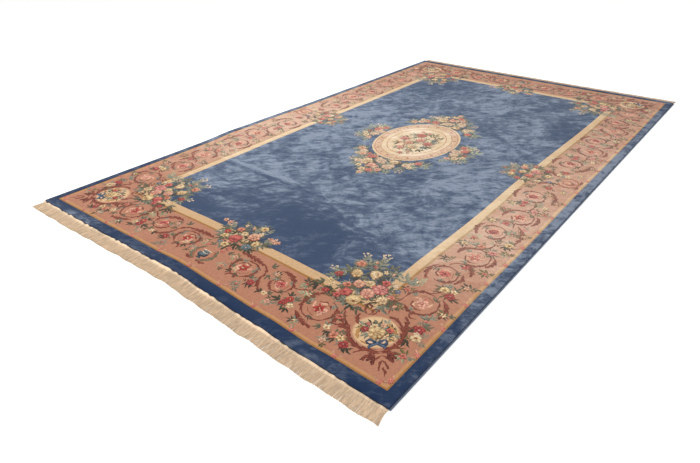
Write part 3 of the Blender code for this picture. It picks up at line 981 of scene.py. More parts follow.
# Each curl of the border: a circle with a flower in it, the angle at which its stem starts, and its way round
Curl = namedtuple("Curl", "x y radius start way shape size dye")
CURLS = rows(
    Curl,
    (0.238, -2.03, 0.082, 60, -1, "star", 0.033, "red"),
    (0.495, -2.004, 0.066, 100, -1, "blossom", 0.028, "deep_rose"),
    (0.768, -2.016, 0.092, 130, 1, "star", 0.033, "red"),
    (1.126, -1.686, 0.09, 190, -1, "blossom", 0.031, "blush"),
    (1.092, -1.41, 0.074, 250, 1, "blossom", 0.03, "deep_rose"),
    (1.136, -1.186, 0.09, 190, -1, "star", 0.033, "coral"),
    (1.09, -0.88, 0.078, 250, 1, "blossom", 0.03, "crimson"),
    (1.14, -0.636, 0.09, 190, -1, "star", 0.033, "red"),
    (1.1, -0.325, 0.08, 250, 1, "blossom", 0.03, "crimson"),
)
BORDER_STROKES = rows(
    Stroke,
    (0.118, -1.938, 0.312, -1.946, 0.06, 0.026, 6), (0.3, -1.94, 0.372, -2.02, 0.18, 0.014, 3),
    (0.366, -2.01, 0.442, -2.108, -0.16, 0.02, 4), (0.15, -2.004, 0.33, -1.992, 0.2, 0.008, 0),
    (0.205, -2.136, 0.24, -2.098, 0.1, 0.01, 0), (0.268, -2.128, 0.24, -2.098, -0.1, 0.01, 0),
    (0.416, -1.916, 0.536, -1.938, 0.1, 0.022, 4), (0.56, -1.98, 0.65, -1.93, -0.12, 0.008, 0),
    (0.664, -2.01, 0.712, -1.918, 0.12, 0.02, 4), (0.69, -2.1, 0.822, -2.142, -0.1, 0.024, 5),
    (0.842, -1.968, 0.868, -2.072, 0.2, 0.022, 4), (0.862, -1.94, 0.985, -2.046, -0.06, 0.008, 0),
    (1.05, -1.85, 1.04, -1.7, 0.14, 0.008, 0), (1.196, -1.606, 1.24, -1.736, 0.2, 0.022, 5),
    (1.062, -1.738, 1.16, -1.762, -0.2, 0.02, 4), (1.12, -1.78, 1.166, -1.8, -0.3, 0.008, 0),
    (1.026, -1.35, 1.034, -1.496, -0.18, 0.02, 4), (1.168, -1.36, 1.17, -1.46, 0.2, 0.018, 4),
    (1.13, -1.262, 1.206, -1.356, 0.14, 0.024, 5), (1.044, -1.2, 1.076, -1.11, 0.2, 0.02, 4),
    (1.226, -1.13, 1.222, -1.236, 0.2, 0.02, 4), (1.006, -0.81, 1.022, -0.952, -0.18, 0.02, 4),
    (1.176, -0.74, 1.24, -0.94, 0.16, 0.022, 6), (1.048, -0.68, 1.092, -0.56, 0.18, 0.02, 4),
    (1.224, -0.566, 1.232, -0.69, 0.18, 0.02, 4), (1.002, -0.256, 1.012, -0.396, -0.18, 0.02, 4),
    (1.168, -0.2, 1.232, -0.37, 0.16, 0.022, 6), (1.05, -0.14, 1.12, -0.06, 0.14, 0.018, 4),
    (1.16, -1.52, 1.11, -1.6, 0.16, 0.008, 0), (1.17, -1.29, 1.07, -1.33, -0.3, 0.008, 0),
    (1.06, -1.11, 1.15, -0.96, -0.3, 0.008, 0), (1.16, -0.78, 1.07, -0.72, -0.3, 0.008, 0),
    (1.06, -0.56, 1.15, -0.41, -0.3, 0.008, 0),
)
BORDER_LEAVES = rows(
    Leaves,
    ("fan", 0.345, -1.925, 0.055, "leaf", 40), ("fan", 0.4, -1.99, 0.045, "leaf", 190),
    ("fan", 0.18, -2.06, 0.045, "leaf", 330), ("fan", 0.205, -2.09, 0.045, "dark", 250),
    ("fan", 0.3, -2.0, 0.04, "sage", 20), ("fan", 0.34, -2.07, 0.05, "leaf", -30),
    ("fan", 0.36, -2.1, 0.05, "dark", 160), ("fan", 0.455, -2.11, 0.045, "dark", 262),
    ("fan", 0.49, -2.095, 0.045, "leaf", 40), ("fan", 0.575, -2.1, 0.065, "dark", 262),
    ("fan", 0.64, -2.05, 0.05, "leaf", 16), ("fan", 0.6, -2.04, 0.045, "dark", -24),
    ("fan", 0.645, -2.12, 0.05, "dark", 170), ("fan", 0.692, -2.03, 0.045, "leaf", 20),
    ("fan", 0.88, -2.078, 0.05, "sage", -28), ("fan", 0.855, -2.106, 0.045, "leaf", 236),
    ("fan", 0.91, -2.11, 0.045, "dark", 190), ("fan", 0.955, -2.13, 0.045, "dark", 214),
    ("fan", 1.03, -2.145, 0.05, "dark", 104), ("fan", 0.97, -2.08, 0.04, "leaf", 10),
    ("fan", 1.205, -1.88, 0.055, "dark", 300), ("fan", 1.215, -1.94, 0.055, "dark", 186),
    ("fan", 1.225, -1.82, 0.05, "leaf", 60), ("fan", 1.2, -1.78, 0.06, "sage", -30),
    ("fan", 1.215, -1.755, 0.05, "sage", 30), ("fan", 1.15, -1.53, 0.055, "leaf", 280),
    ("fan", 1.205, -1.51, 0.055, "leaf", 20), ("fan", 1.22, -1.57, 0.05, "dark", 100),
    ("fan", 1.17, -1.5, 0.045, "sage", -20), ("fan", 1.18, -1.09, 0.055, "leaf", 20),
    ("fan", 1.215, -0.985, 0.055, "dark", 160), ("fan", 1.225, -0.95, 0.05, "leaf", 30),
    ("fan", 1.09, -1.06, 0.05, "sage", 290), ("fan", 1.11, -0.745, 0.05, "leaf", 300),
    ("fan", 1.215, -0.75, 0.05, "sage", 20), ("fan", 1.18, -0.52, 0.055, "leaf", 40),
    ("fan", 1.08, -0.455, 0.06, "leaf", 280), ("fan", 1.215, -0.445, 0.05, "dark", 100),
    ("fan", 1.125, -0.15, 0.05, "leaf", 300), ("fan", 1.215, -0.16, 0.06, "sage", 60),
)
BORDER_FLOWERS = rows(
    Flower,
    ("daisy", 0.212, -2.06, 0.02, "cream"), ("blossom", 0.363, -2.092, 0.024, "crimson"),
    ("daisy", 0.476, -2.106, 0.02, "cream"), ("blossom", 0.604, -2.096, 0.024, "crimson"),
    ("blossom", 0.614, -2.06, 0.022, "red"), ("daisy", 0.65, -2.098, 0.022, "cream"),
    ("daisy", 0.879, -2.092, 0.021, "cream"), ("blossom", 0.938, -2.112, 0.024, "orange"),
    ("daisy", 0.974, -2.108, 0.024, "yellow"), ("blossom", 1.012, -2.132, 0.025, "crimson"),
    ("bud", 1.208, -1.79, 0.018, "coral", 10), ("blossom", 1.217, -1.852, 0.028, "crimson"),
    ("blossom", 1.234, -1.906, 0.026, "cream"), ("daisy", 1.222, -1.88, 0.018, "white"),
    ("blossom", 1.163, -1.53, 0.026, "yellow"), ("blossom", 1.206, -1.56, 0.028, "crimson"),
    ("daisy", 1.208, -1.52, 0.02, "cream"), ("blossom", 1.19, -1.09, 0.026, "pink"),
    ("blossom", 1.112, -1.064, 0.024, "orange"), ("blossom", 1.226, -0.966, 0.026, "yellow"),
    ("blossom", 1.104, -0.746, 0.024, "deep_rose"), ("daisy", 1.222, -0.756, 0.022, "pink"),
    ("blossom", 1.185, -0.516, 0.024, "pink"), ("blossom", 1.09, -0.434, 0.024, "deep_rose"),
    ("daisy", 1.092, -0.476, 0.022, "crimson"), ("daisy", 1.222, -0.44, 0.022, "cream"),
    ("blossom", 1.134, -0.148, 0.024, "red"), ("daisy", 1.23, -0.16, 0.02, "yellow"),
)

# Sprigs fill what the scrolls leave free: where, which way they point, and the flower's dye
Sprig = namedtuple("Sprig", "x y turn dye")
SPRIGS = rows(
    Sprig,
    (0.128, -2.092, 80, "orange"), (0.13, -1.99, 20, "peach"), (0.31, -2.15, 80, "coral"),
    (0.42, -1.955, 60, "peach"), (0.54, -2.14, 270, "blush"), (0.6, -1.92, 250, "coral"),
    (0.66, -1.975, 200, "cream"), (0.88, -2.0, 160, "coral"), (0.73, -2.16, 80, "cream"),
    (0.92, -2.165, 90, "peach"), (1.25, -2.03, 10, "coral"), (1.04, -1.79, 340, "peach"),
    (1.25, -1.7, 10, "cream"), (1.015, -1.64, 0, "coral"), (1.03, -1.56, 330, "cream"),
    (1.24, -1.45, 0, "peach"), (1.15, -1.3, 30, "deep_rose"), (1.03, -1.285, 340, "blush"),
    (1.25, -1.29, 0, "coral"), (1.02, -1.09, 0, "cream"), (1.25, -1.06, 10, "cream"),
    (1.16, -0.99, 300, "blush"), (1.03, -1.0, 330, "coral"), (1.18, -0.84, 20, "coral"),
    (1.25, -0.83, 0, "peach"), (1.025, -0.76, 340, "cream"), (1.02, -0.59, 0, "deep_rose"),
    (1.03, -0.48, 330, "cream"), (1.25, -0.52, 10, "coral"), (1.175, -0.42, 300, "cream"),
    (1.25, -0.33, 0, "blush"), (1.17, -0.24, 20, "peach"), (1.025, -0.19, 340, "coral"),
)

# The bouquet in the middle of the near end. The far one mirrors it.
END_LEAVES = rows(
    Leaves,
    ("frond", 0.12, -1.775, 0.095, "sage", 70), ("fan", 0.15, -1.8, 0.08, "leaf", 100),
    ("fan", 0.13, -1.83, 0.08, "sage", 120), ("frond", 0.06, -1.74, 0.095, "sage", 20),
    ("fan", 0.01, -1.74, 0.08, "sage", -12), ("frond", -0.04, -1.76, 0.1, "leaf", -32),
    ("frond", -0.11, -1.79, 0.1, "sage", -62), ("fan", -0.13, -1.82, 0.08, "leaf", -90),
    ("fan", -0.12, -1.86, 0.08, "sage", -116), ("fan", -0.08, -1.9, 0.075, "leaf", 220),
    ("fan", 0.03, -1.9, 0.075, "dark", 160), ("fan", 0.12, -1.89, 0.075, "dark", 130),
    ("fan", 0.01, -1.945, 0.07, "dark", 184), ("fan", 0.07, -1.85, 0.06, "dark", 100),
    ("fan", -0.06, -1.83, 0.06, "dark", 270), ("fan", 0.02, -1.83, 0.06, "dark", 0),
    ("fan", 0.06, -1.91, 0.06, "leaf", 110), ("fan", 0.07, -1.985, 0.045, "leaf", 80),
    ("fan", -0.06, -1.985, 0.045, "leaf", 280),
)
END_FLOWERS = rows(
    Flower,
    ("spray", 0.13, -1.775, 0.08, "peach", 62), ("spray", -0.11, -1.79, 0.085, "peach", -58),
    ("star", 0.15, -1.745, 0.021, "peach"), ("star", 0.178, -1.752, 0.02, "blush"),
    ("star", 0.206, -1.744, 0.02, "peach"), ("star", -0.186, -1.75, 0.022, "blush"),
    ("star", -0.228, -1.748, 0.02, "peach"), ("daisy", -0.07, -1.725, 0.016, "white"),
    ("blossom", 0.041, -1.69, 0.026, "yellow"), ("bud", -0.014, -1.726, 0.021, "peach", -10),
    ("blossom", -0.068, -1.776, 0.025, "orange"), ("blossom", -0.116, -1.836, 0.022, "red"),
    ("blossom", -0.096, -1.878, 0.024, "yellow"), ("blossom", 0.118, -1.838, 0.026, "yellow"),
    ("blossom", 0.098, -1.89, 0.03, "steel"), ("daisy", 0.066, -1.742, 0.02, "white"),
    ("blossom", -0.022, -1.945, 0.026, "yellow"), ("daisy", 0.034, -1.96, 0.02, "coral"),
    ("daisy", -0.066, -1.94, 0.018, "steel"), ("rose", 0.06, -1.793, 0.041, "peach"),
    ("cup", -0.012, -1.8, 0.028, "cream", -30), ("cup", -0.02, -1.868, 0.045, "deep_rose", 160),
)
URN_PARTS = rows(
    Flower,
    ("urn", -0.034, -2.082, 0.054, "steel", 0), ("daisy", -0.094, -2.0, 0.018, "coral"),
    ("daisy", 0.03, -2.0, 0.018, "coral"),
)
URN_STROKES = (
    Arc(-0.034, -2.078, 0.07, 124, 136, 1.0, 0.021, 6, "leaf"),
    Arc(-0.034, -2.078, 0.07, 56, -136, 1.0, 0.021, 6, "leaf"),
    Arc(-0.034, -2.078, 0.06, 130, 122, 1.0, 0.009, 0, "stem"),
    Arc(-0.034, -2.078, 0.06, 50, -122, 1.0, 0.009, 0, "stem"),
    Stroke(-0.044, -2.146, -0.106, -2.14, 0.2, 0.014, 3),
    Stroke(-0.024, -2.146, 0.04, -2.14, -0.2, 0.014, 3),
)

# The bouquet in the middle of the right side. The left one mirrors it.
SIDE_LEAVES = rows(
    Leaves,
    ("frond", 0.85, 0.04, 0.1, "sage", 300), ("fan", 0.84, 0.0, 0.085, "sage", 272),
    ("frond", 0.85, -0.04, 0.1, "leaf", 246), ("fan", 0.88, -0.09, 0.08, "sage", 210),
    ("fan", 0.9, 0.1, 0.08, "sage", -20), ("fan", 0.95, 0.1, 0.08, "leaf", 10),
    ("fan", 0.96, -0.1, 0.08, "leaf", 170), ("fan", 1.01, 0.06, 0.075, "dark", 50),
    ("fan", 1.02, -0.04, 0.075, "dark", 120), ("fan", 1.02, 0.01, 0.07, "leaf", 86),
    ("fan", 0.92, 0.03, 0.06, "dark", 300), ("fan", 0.91, -0.04, 0.06, "dark", 240),
    ("fan", 1.12, 0.01, 0.06, "leaf", 80), ("fan", 1.13, 0.06, 0.055, "sage", 20),
    ("fan", 1.125, -0.05, 0.055, "dark", 150),
)
SIDE_FLOWERS = rows(
    Flower,
    ("spray", 0.83, 0.06, 0.069, "white", -70), ("spray", 0.83, -0.07, 0.069, "peach", 236),
    ("bud", 0.765, -0.015, 0.021, "crimson", 264), ("bud", 0.8, 0.03, 0.017, "peach", 290),
    ("blossom", 0.83, -0.03, 0.021, "orange"), ("blossom", 0.86, 0.1, 0.019, "yellow"),
    ("blossom", 0.9, -0.12, 0.021, "deep_rose"), ("blossom", 0.93, 0.13, 0.019, "coral"),
    ("blossom", 1.03, -0.09, 0.022, "cream"), ("blossom", 1.03, 0.1, 0.024, "crimson"),
    ("blossom", 1.06, 0.02, 0.026, "yellow"), ("daisy", 1.11, 0.09, 0.024, "cream"),
    ("daisy", 1.17, 0.095, 0.024, "cream"), ("daisy", 1.1, -0.06, 0.022, "blue"),
    ("rose", 0.871, 0.066, 0.028, "blush"), ("cup", 0.838, -0.08, 0.028, "yellow", 250),
    ("cup", 0.953, -0.046, 0.033, "deep_rose", 120), ("rose", 0.965, 0.036, 0.036, "pink"),
    ("rose", 0.89, -0.006, 0.026, "cream"),
)
SIDE_STROKES = (
    Arc(1.205, 0.0, 0.066, 202, 164, 1.0, 0.022, 7, "stem"),
    Arc(1.205, 0.0, 0.066, 158, -164, 1.0, 0.022, 7, "stem"),
    Arc(1.205, 0.0, 0.055, 206, 150, 1.0, 0.014, 0, "blush"),
    Arc(1.205, 0.0, 0.055, 154, -150, 1.0, 0.014, 0, "blush"),
    Stroke(1.262, 0.01, 1.262, 0.08, -0.2, 0.014, 3),
    Stroke(1.262, -0.01, 1.262, -0.08, 0.2, 0.014, 3),
)
SIDE_URN = (Flower("urn", 1.208, 0.000, 0.052, "peach", 270),)

# The medallion: its bouquet, then the garlands round it at its near end and its right side
MEDALLION_LEAVES = rows(
    Leaves,
    ("frond", 0.04, 0.15, 0.11, "olive", 10), ("frond", 0.08, 0.13, 0.1, "olive", 34),
    ("fan", 0.0, 0.18, 0.08, "olive", -16), ("fan", -0.08, 0.12, 0.08, "sage", -50),
    ("fan", -0.11, 0.04, 0.075, "olive", -80), ("fan", 0.1, 0.06, 0.075, "sage", 70),
    ("fan", 0.11, -0.03, 0.075, "olive", 96), ("fan", -0.1, -0.08, 0.08, "olive", -120),
    ("fan", -0.06, -0.15, 0.08, "sage", 200), ("fan", 0.04, -0.15, 0.08, "sage", 160),
    ("fan", 0.09, -0.11, 0.075, "olive", 130), ("fan", -0.01, 0.02, 0.06, "sage", 180),
    ("fan", -0.05, 0.09, 0.06, "sage", 240), ("fan", 0.06, 0.01, 0.06, "sage", 20),
)
MEDALLION_FLOWERS = rows(
    Flower,
    ("blossom", 0.1, 0.11, 0.024, "steel"), ("blossom", 0.1, -0.06, 0.022, "steel"),
    ("daisy", -0.11, -0.07, 0.022, "coral"), ("daisy", -0.075, 0.225, 0.02, "pink"),
    ("daisy", -0.12, 0.09, 0.018, "cream"), ("blossom", 0.05, -0.19, 0.02, "peach"),
    ("blossom", -0.01, 0.215, 0.022, "blush"), ("blossom", 0.01, -0.24, 0.018, "coral"),
    ("rose", 0.02, -0.1, 0.034, "cream"), ("rose", -0.05, -0.15, 0.034, "blush"),
    ("rose", -0.045, -0.03, 0.04, "peach"), ("rose", 0.01, 0.055, 0.042, "blush"),
    ("rose", 0.09, 0.015, 0.034, "coral"), ("rose", -0.12, 0.02, 0.036, "pink"),
    ("rose", -0.045, 0.15, 0.042, "coral"),
)
GARLAND_LEAVES = rows(
    Leaves,
    ("frond", -0.24, -0.36, 0.1, "fern", 250), ("fan", -0.28, -0.33, 0.08, "sage", 290),
    ("fan", -0.2, -0.42, 0.09, "fern", 230), ("fan", -0.15, -0.48, 0.085, "sage", 236),
    ("frond", -0.11, -0.56, 0.1, "fern", 220), ("fan", -0.06, -0.62, 0.085, "sage", 200),
    ("frond", -0.01, -0.66, 0.095, "fern", 176), ("fan", 0.05, -0.62, 0.085, "sage", 158),
    ("frond", 0.1, -0.55, 0.1, "fern", 138), ("fan", 0.16, -0.47, 0.085, "sage", 120),
    ("fan", 0.22, -0.41, 0.09, "fern", 110), ("frond", 0.26, -0.35, 0.1, "fern", 96),
    ("fan", 0.28, -0.32, 0.08, "sage", 60), ("fan", -0.05, -0.48, 0.07, "dark", 190),
    ("fan", 0.05, -0.48, 0.07, "dark", 160), ("fan", -0.12, -0.44, 0.06, "dark", 250),
    ("fan", 0.13, -0.43, 0.06, "dark", 110), ("fan", 0.0, -0.59, 0.07, "dark", 180),
)
GARLAND_FLOWERS = rows(
    Flower,
    ("spray", -0.15, -0.5, 0.09, "white", 240), ("spray", 0.14, -0.5, 0.09, "white", 122),
    ("blossom", -0.27, -0.345, 0.032, "peach"), ("blossom", -0.225, -0.385, 0.034, "white"),
    ("blossom", -0.2, -0.43, 0.03, "peach"), ("daisy", -0.245, -0.44, 0.024, "cream"),
    ("daisy", -0.16, -0.4, 0.022, "coral"), ("blossom", 0.24, -0.34, 0.03, "coral"),
    ("blossom", 0.185, -0.42, 0.034, "white"), ("daisy", 0.225, -0.44, 0.026, "cream"),
    ("daisy", 0.205, -0.375, 0.024, "cream"), ("blossom", 0.015, -0.64, 0.03, "coral"),
    ("blossom", -0.04, -0.65, 0.028, "cream"), ("blossom", 0.06, -0.6, 0.028, "blush"),
    ("daisy", -0.02, -0.705, 0.026, "peach"), ("daisy", -0.1, -0.61, 0.028, "cream"),
    ("blossom", -0.15, -0.55, 0.034, "white"), ("rose", -0.115, -0.43, 0.036, "coral"),
    ("cup", 0.085, -0.425, 0.04, "cream", 130), ("rose", -0.09, -0.515, 0.044, "cream"),
    ("cup", -0.02, -0.56, 0.04, "blush", 180), ("rose", 0.085, -0.52, 0.044, "white"),
    ("rose", -0.01, -0.455, 0.046, "white"),
)
WING_LEAVES = rows(
    Leaves,
    ("frond", 0.39, 0.1, 0.11, "fern", 8), ("fan", 0.37, 0.13, 0.08, "sage", -20),
    ("frond", 0.43, 0.06, 0.11, "fern", 60), ("fan", 0.45, 0.01, 0.09, "sage", 92),
    ("frond", 0.43, -0.06, 0.11, "fern", 120), ("fan", 0.4, -0.11, 0.09, "sage", 160),
    ("frond", 0.36, -0.13, 0.1, "fern", 190), ("fan", 0.39, 0.04, 0.07, "dark", 40),
    ("fan", 0.39, -0.04, 0.07, "dark", 140),
)
WING_FLOWERS = rows(
    Flower,
    ("spray", 0.41, 0.09, 0.085, "white", 40), ("spray", 0.41, -0.1, 0.085, "white", 140),
    ("blossom", 0.36, 0.12, 0.032, "coral"), ("blossom", 0.405, 0.11, 0.024, "cream"),
    ("blossom", 0.43, -0.01, 0.024, "stem"), ("blossom", 0.4, -0.1, 0.03, "cream"),
    ("daisy", 0.44, -0.06, 0.028, "cream"), ("daisy", 0.35, -0.13, 0.028, "peach"),
    ("rose", 0.4, 0.06, 0.034, "coral"), ("rose", 0.37, -0.05, 0.036, "white"),
    ("rose", 0.35, 0.02, 0.042, "white"),
)

# The raised lines of the medallion: a share of the oval, a width and a dye
RING_LINES = (
    (0.976, 0.013, "cream"),
    (0.938, 0.009, "ribbon"),
    (0.803, 0.005, "stem"),
    (0.672, 0.004, "gold"),
)
BEADS = 64
BEAD_OVAL = 0.872
BEAD_SIZES = (0.0125, 0.0155)
BEAD_DYES = (("peach", "blush", "sage"), ("cream", "peach", "sage"), ("stem", "coral", "sage"))

# The ribbons round the staff: the staff's middle, and where they are along a side and across an end
STAFF_MIDDLE = (1.296, 2.209)
BINDING_DYES = ("coral", "ribbon", "sage")
BINDING_SIZE = 0.023
CORNER_BINDING_SIZE = 0.024
BINDINGS_ALONG = (0.10, 0.31, 0.52, 0.73, 0.94, 1.15, 1.36, 1.57, 1.78, 1.99)
BINDINGS_ACROSS = (0.257, 0.514, 0.771, 1.028)


# Groups of motifs

STROKE_SCALE = 1.6
LEAF_SCALE = 0.9

# Each waver of the outlines: how far it reaches, and how long it is
UNEVEN = ((0.0026, 0.046), (0.0012, 0.019))

# How far foliage reaches past its flower, the level of the lowest flower and the step up to the next one
FOLIAGE_REACH = 0.022
FLOWER_LEVEL = 0.45
FLOWER_STEP = 0.012


def put_leaves(bm, table, draw):
    for row in table:
        turn = row.turn + draw.uniform(-9, 9)
        stamp(bm, row.shape, (row.x, row.y), row.size * LEAF_SCALE, turn, [row.dye] * 3)


def flower_dyes(dye, heart):
    """The dyes of a flower's petals, heart and green. The heart given is for petals that name none."""
    return (dye, HEARTS.get(dye, heart), "sage")


def put_flowers(bm, table, draw):
    """Stamps flowers, each a little above the one before. One without a turn gets any."""
    for i, row in enumerate(table):
        turn = draw.uniform(0, 360) if row.turn is None else row.turn
        dyes = flower_dyes(row.dye, row.dye)
        stamp(bm, row.shape, (row.x, row.y), row.size, turn, dyes, FLOWER_LEVEL + FLOWER_STEP * i)


def put_strokes(bm, table):
    """Draws scrolls. A long straight one has a thin stem beside it."""
    for row in table:
        if isinstance(row, Arc):
            path = curled((row.x, row.y), row.radius, row.start, row.sweep, row.inward)
        else:
            path = bent((row.x, row.y), (row.to_x, row.to_y), row.bow)
        strip(bm, path, row.width * STROKE_SCALE, row.lobes, dyed(row.dye))
        if row.lobes > 3 and isinstance(row, Stroke):
            beside = bent((row.x, row.y), (row.to_x, row.to_y), row.bow - math.copysign(0.10, row.bow))
            strip(bm, beside, 0.007, 0, dyed("stem"), 0.5, 8)


def put_foliage(bm, flowers, draw, count, picked):
    """Tucks leaves of picked dyes under the flowers of a bouquet, all round each one."""
    for row in flowers:
        if row.shape in ("rose", "cup", "blossom", "bud"):
            for i in range(count):
                turn = 360 / count * i + draw.uniform(-30, 30)
                at = beyond((row.x, row.y), 0.45 * row.size, turn)
                size = row.size * draw.uniform(0.70, 1.05) + FOLIAGE_REACH
                dye = draw.choice(picked)
                stamp(bm, draw.choice(("fan", "fan", "frond")), at, size, turn, [dye] * 3, -0.10)


def put_fill(bm, flowers, draw, count, picked):
    """Sets small flowers of picked dyes close beside the big ones, partly under them."""
    for row in flowers:
        if row.shape in ("rose", "cup"):
            for _ in range(count):
                at = beyond((row.x, row.y), 1.02 * row.size, draw.uniform(0, 360))
                dyes = flower_dyes(draw.choice(picked), "amber")
                size = row.size * draw.uniform(0.38, 0.56)
                stamp(bm, draw.choice(("blossom", "bud", "cup")), at, size, draw.uniform(0, 360), dyes, 0.25)


def put_bouquet(
    bm, draw, leaves, flowers, under=5, under_dyes=LEAF_DYES, fill=1, fill_dyes=FILL_DYES, holder=()
):
    """Builds a bouquet up, from the foliage under each flower to its vase and flowers."""
    put_foliage(bm, flowers, draw, under, under_dyes)
    put_leaves(bm, leaves, draw)
    put_fill(bm, flowers, draw, fill, fill_dyes)
    put_flowers(bm, holder + flowers, draw)


# The leaves of a sprig: the turn, shape and size of each
SPRIG_LEAVES = ((-62, "fan", 0.046), (58, "frond", 0.050), (176, "fan", 0.040))


def put_sprigs(bm, draw):
    for i, sprig in enumerate(SPRIGS):
        at = (sprig.x, sprig.y)
        turn = sprig.turn + draw.uniform(-15, 15)
        for away, shape, size in SPRIG_LEAVES:
            dye = draw.choice(SPRIG_DYES)
            stamp(bm, shape, at, size * draw.uniform(0.85, 1.2), turn + away, [dye] * 3)
        shape = ("daisy", "blossom", "bud")[i % 3]
        stamp(bm, shape, at, draw.uniform(0.017, 0.021), turn, flower_dyes(sprig.dye, "amber"), 0.4)


# The strips of a curl: the angle each starts at from its stem's, its sweep, its distance from the middle as
# a share of the radius, how far it closes in, its width, lobes and dye, its crown, its steps and how its
# ends taper. A lobed strip takes its steps from its lobes.
CurlStrip = namedtuple("CurlStrip", "at sweep reach inward width lobes dye crown steps ends", defaults=(0.6,))
CURL_STRIPS = rows(
    CurlStrip,
    (0, 300, 1.0, 0.86, 0.0095, 0, "maroon", 0.6, 22, 0.3),
    (8, 92, 1.0, 1.0, 0.028, 4, "maroon", 0.7, 0),
    (196, 80, 0.93, 1.0, 0.026, 4, "maroon", 0.7, 0),
    (250, 110, 0.62, 0.8, 0.017, 3, "maroon", 0.7, 0),
    (60, 120, 0.66, 0.9, 0.008, 0, "stem", 0.5, 8),
)
CURL_PETALS = rows(
    CurlStrip,
    (16, 62, 0.60, 0.42, 0.027, 2, "blush", 0.6, 0),
    (92, 48, 0.50, 0.42, 0.027, 2, "coral", 0.6, 0),
    (150, 66, 0.66, 0.42, 0.027, 2, "peach", 0.6, 0),
    (222, 50, 0.52, 0.42, 0.027, 2, "blush", 0.6, 0),
    (292, 60, 0.62, 0.42, 0.027, 2, "peach", 0.6, 0),
)

# The leaves of a curl: the angle each stands at, its turn and its dye
CURL_LEAVES = ((40, 30, "sage"), (140, -20, "leaf"), (285, 60, "sage"))
CURL_LEAF_SIZE = 0.040


def put_curl_strips(bm, curl, strips):
    for row in strips:
        start, sweep = curl.start + row.at * curl.way, row.sweep * curl.way
        path = curled((curl.x, curl.y), curl.radius * row.reach, start, sweep, row.inward)
        strip(bm, path, row.width, row.lobes, dyed(row.dye), row.crown, row.steps, row.ends)


def put_curl(bm, curl, draw):
    """A spiral stem that ends in a flower, with acanthus leaves, a tendril, small leaves and petals on it."""
    middle = (curl.x, curl.y)
    put_curl_strips(bm, curl, CURL_STRIPS)
    for at, away, dye in CURL_LEAVES:
        turn = 90 - curl.start - at * curl.way
        place = beyond(middle, curl.radius * 0.72, turn)
        stamp(bm, "fan", place, CURL_LEAF_SIZE, turn + away + draw.uniform(-20, 20), [dye] * 3)
    put_curl_strips(bm, curl, CURL_PETALS)
    beside = beyond(middle, curl.radius * 0.30, 90 - curl.start - 200 * curl.way)
    stamp(bm, "blossom", beside, curl.size * 0.72, draw.uniform(0, 360), ("blush", "pink", "sage"), 0.2)
    dyes = flower_dyes(curl.dye, "cream")
    stamp(bm, curl.shape, middle, curl.size, draw.uniform(0, 360), dyes, 0.5)


def mirror(bm, across=False, along=False, about=(0.0, 0.0)):
    """Adds the other half about a point: over the carpet's length, its width, or both."""
    space = Matrix.Translation((-about[0], -about[1], 0))
    for wanted, scale in ((across, (-1, 1, 1)), (along, (1, -1, 1))):
        if wanted:
            geometry = bm.verts[:] + bm.edges[:] + bm.faces[:]
            made = bmesh.ops.duplicate(bm, geom=geometry)["geom"]
            verts = [g for g in made if isinstance(g, bmesh.types.BMVert)]
            bmesh.ops.scale(bm, verts=verts, vec=scale, space=space)
            bmesh.ops.reverse_faces(bm, faces=[g for g in made if isinstance(g, bmesh.types.BMFace)])


def uneven(mesh):
    """Makes the outlines a little irregular, as hand-knotted ones are."""
    x, y, z = points_of(mesh).T
    wavy_x, wavy_y = x.copy(), y.copy()
    for reach, wave in UNEVEN:
        turns = 2 * math.pi / wave
        wavy_x += reach * np.sin(turns * y + 1.9 * np.sin(0.61 * turns * x))
        wavy_y += reach * np.sin(0.93 * turns * x + 1.7 * np.sin(0.57 * turns * y))
    move_points(mesh, wavy_x, wavy_y, z)


def brush(mesh, haze, share):
    """Adds painted sheen to the motifs where the nap round them lies light."""
    x, y, _ = points_of(mesh).T
    tints = tints_of(mesh)
    tints[:, :3] += np.array(haze) * share * nap_light(x, y)[:, None]
    mesh.attributes["tint"].data.foreach_set("color", tints.ravel())


def finish_motifs(context, name, bm, sheen_share=MOTIF_SHEEN):
    """Lays the motifs down on the pile as one piece."""
    mesh = mesh_of(name, bm)
    uneven(mesh)
    brush(mesh, context.scene.carpet_colours.haze, sheen_share)
    lay_down(mesh, THICKNESS, context.scene.carpet_sizes.relief)
    finish_piece(name, mesh, motif_material(), [])


class CARPET_OT_corner_bouquets(bpy.types.Operator):
    """Make the bouquet in each corner of the field"""

    bl_idname = "carpet.corner_bouquets"
    bl_label = "Corner bouquets"

    def execute(self, context):
        bm, draw = bmesh.new(), random.Random(5)
        put_strokes(bm, CORNER_STROKES)
        put_bouquet(bm, draw, CORNER_LEAVES, CORNER_FLOWERS)
        mirror(bm, across=True, along=True)
        finish_motifs(context, "corner_bouquets", bm)
        return {"FINISHED"}


class CARPET_OT_end_bouquets(bpy.types.Operator):
    """Make the bouquet in its vase at the middle of each end"""

    bl_idname = "carpet.end_bouquets"
    bl_label = "End bouquets"

    def execute(self, context):
        bm, draw = bmesh.new(), random.Random(6)
        put_strokes(bm, URN_STROKES)
        put_bouquet(bm, draw, END_LEAVES, END_FLOWERS, holder=URN_PARTS)
        mirror(bm, along=True)
        finish_motifs(context, "end_bouquets", bm)
        return {"FINISHED"}


class CARPET_OT_side_bouquets(bpy.types.Operator):
    """Make the bouquet in its vase at the middle of each side"""

    bl_idname = "carpet.side_bouquets"
    bl_label = "Side bouquets"

    def execute(self, context):
        bm, draw = bmesh.new(), random.Random(7)
        put_strokes(bm, SIDE_STROKES)
        put_bouquet(bm, draw, SIDE_LEAVES, SIDE_FLOWERS, holder=SIDE_URN)
        mirror(bm, across=True)
        finish_motifs(context, "side_bouquets", bm)
        return {"FINISHED"}


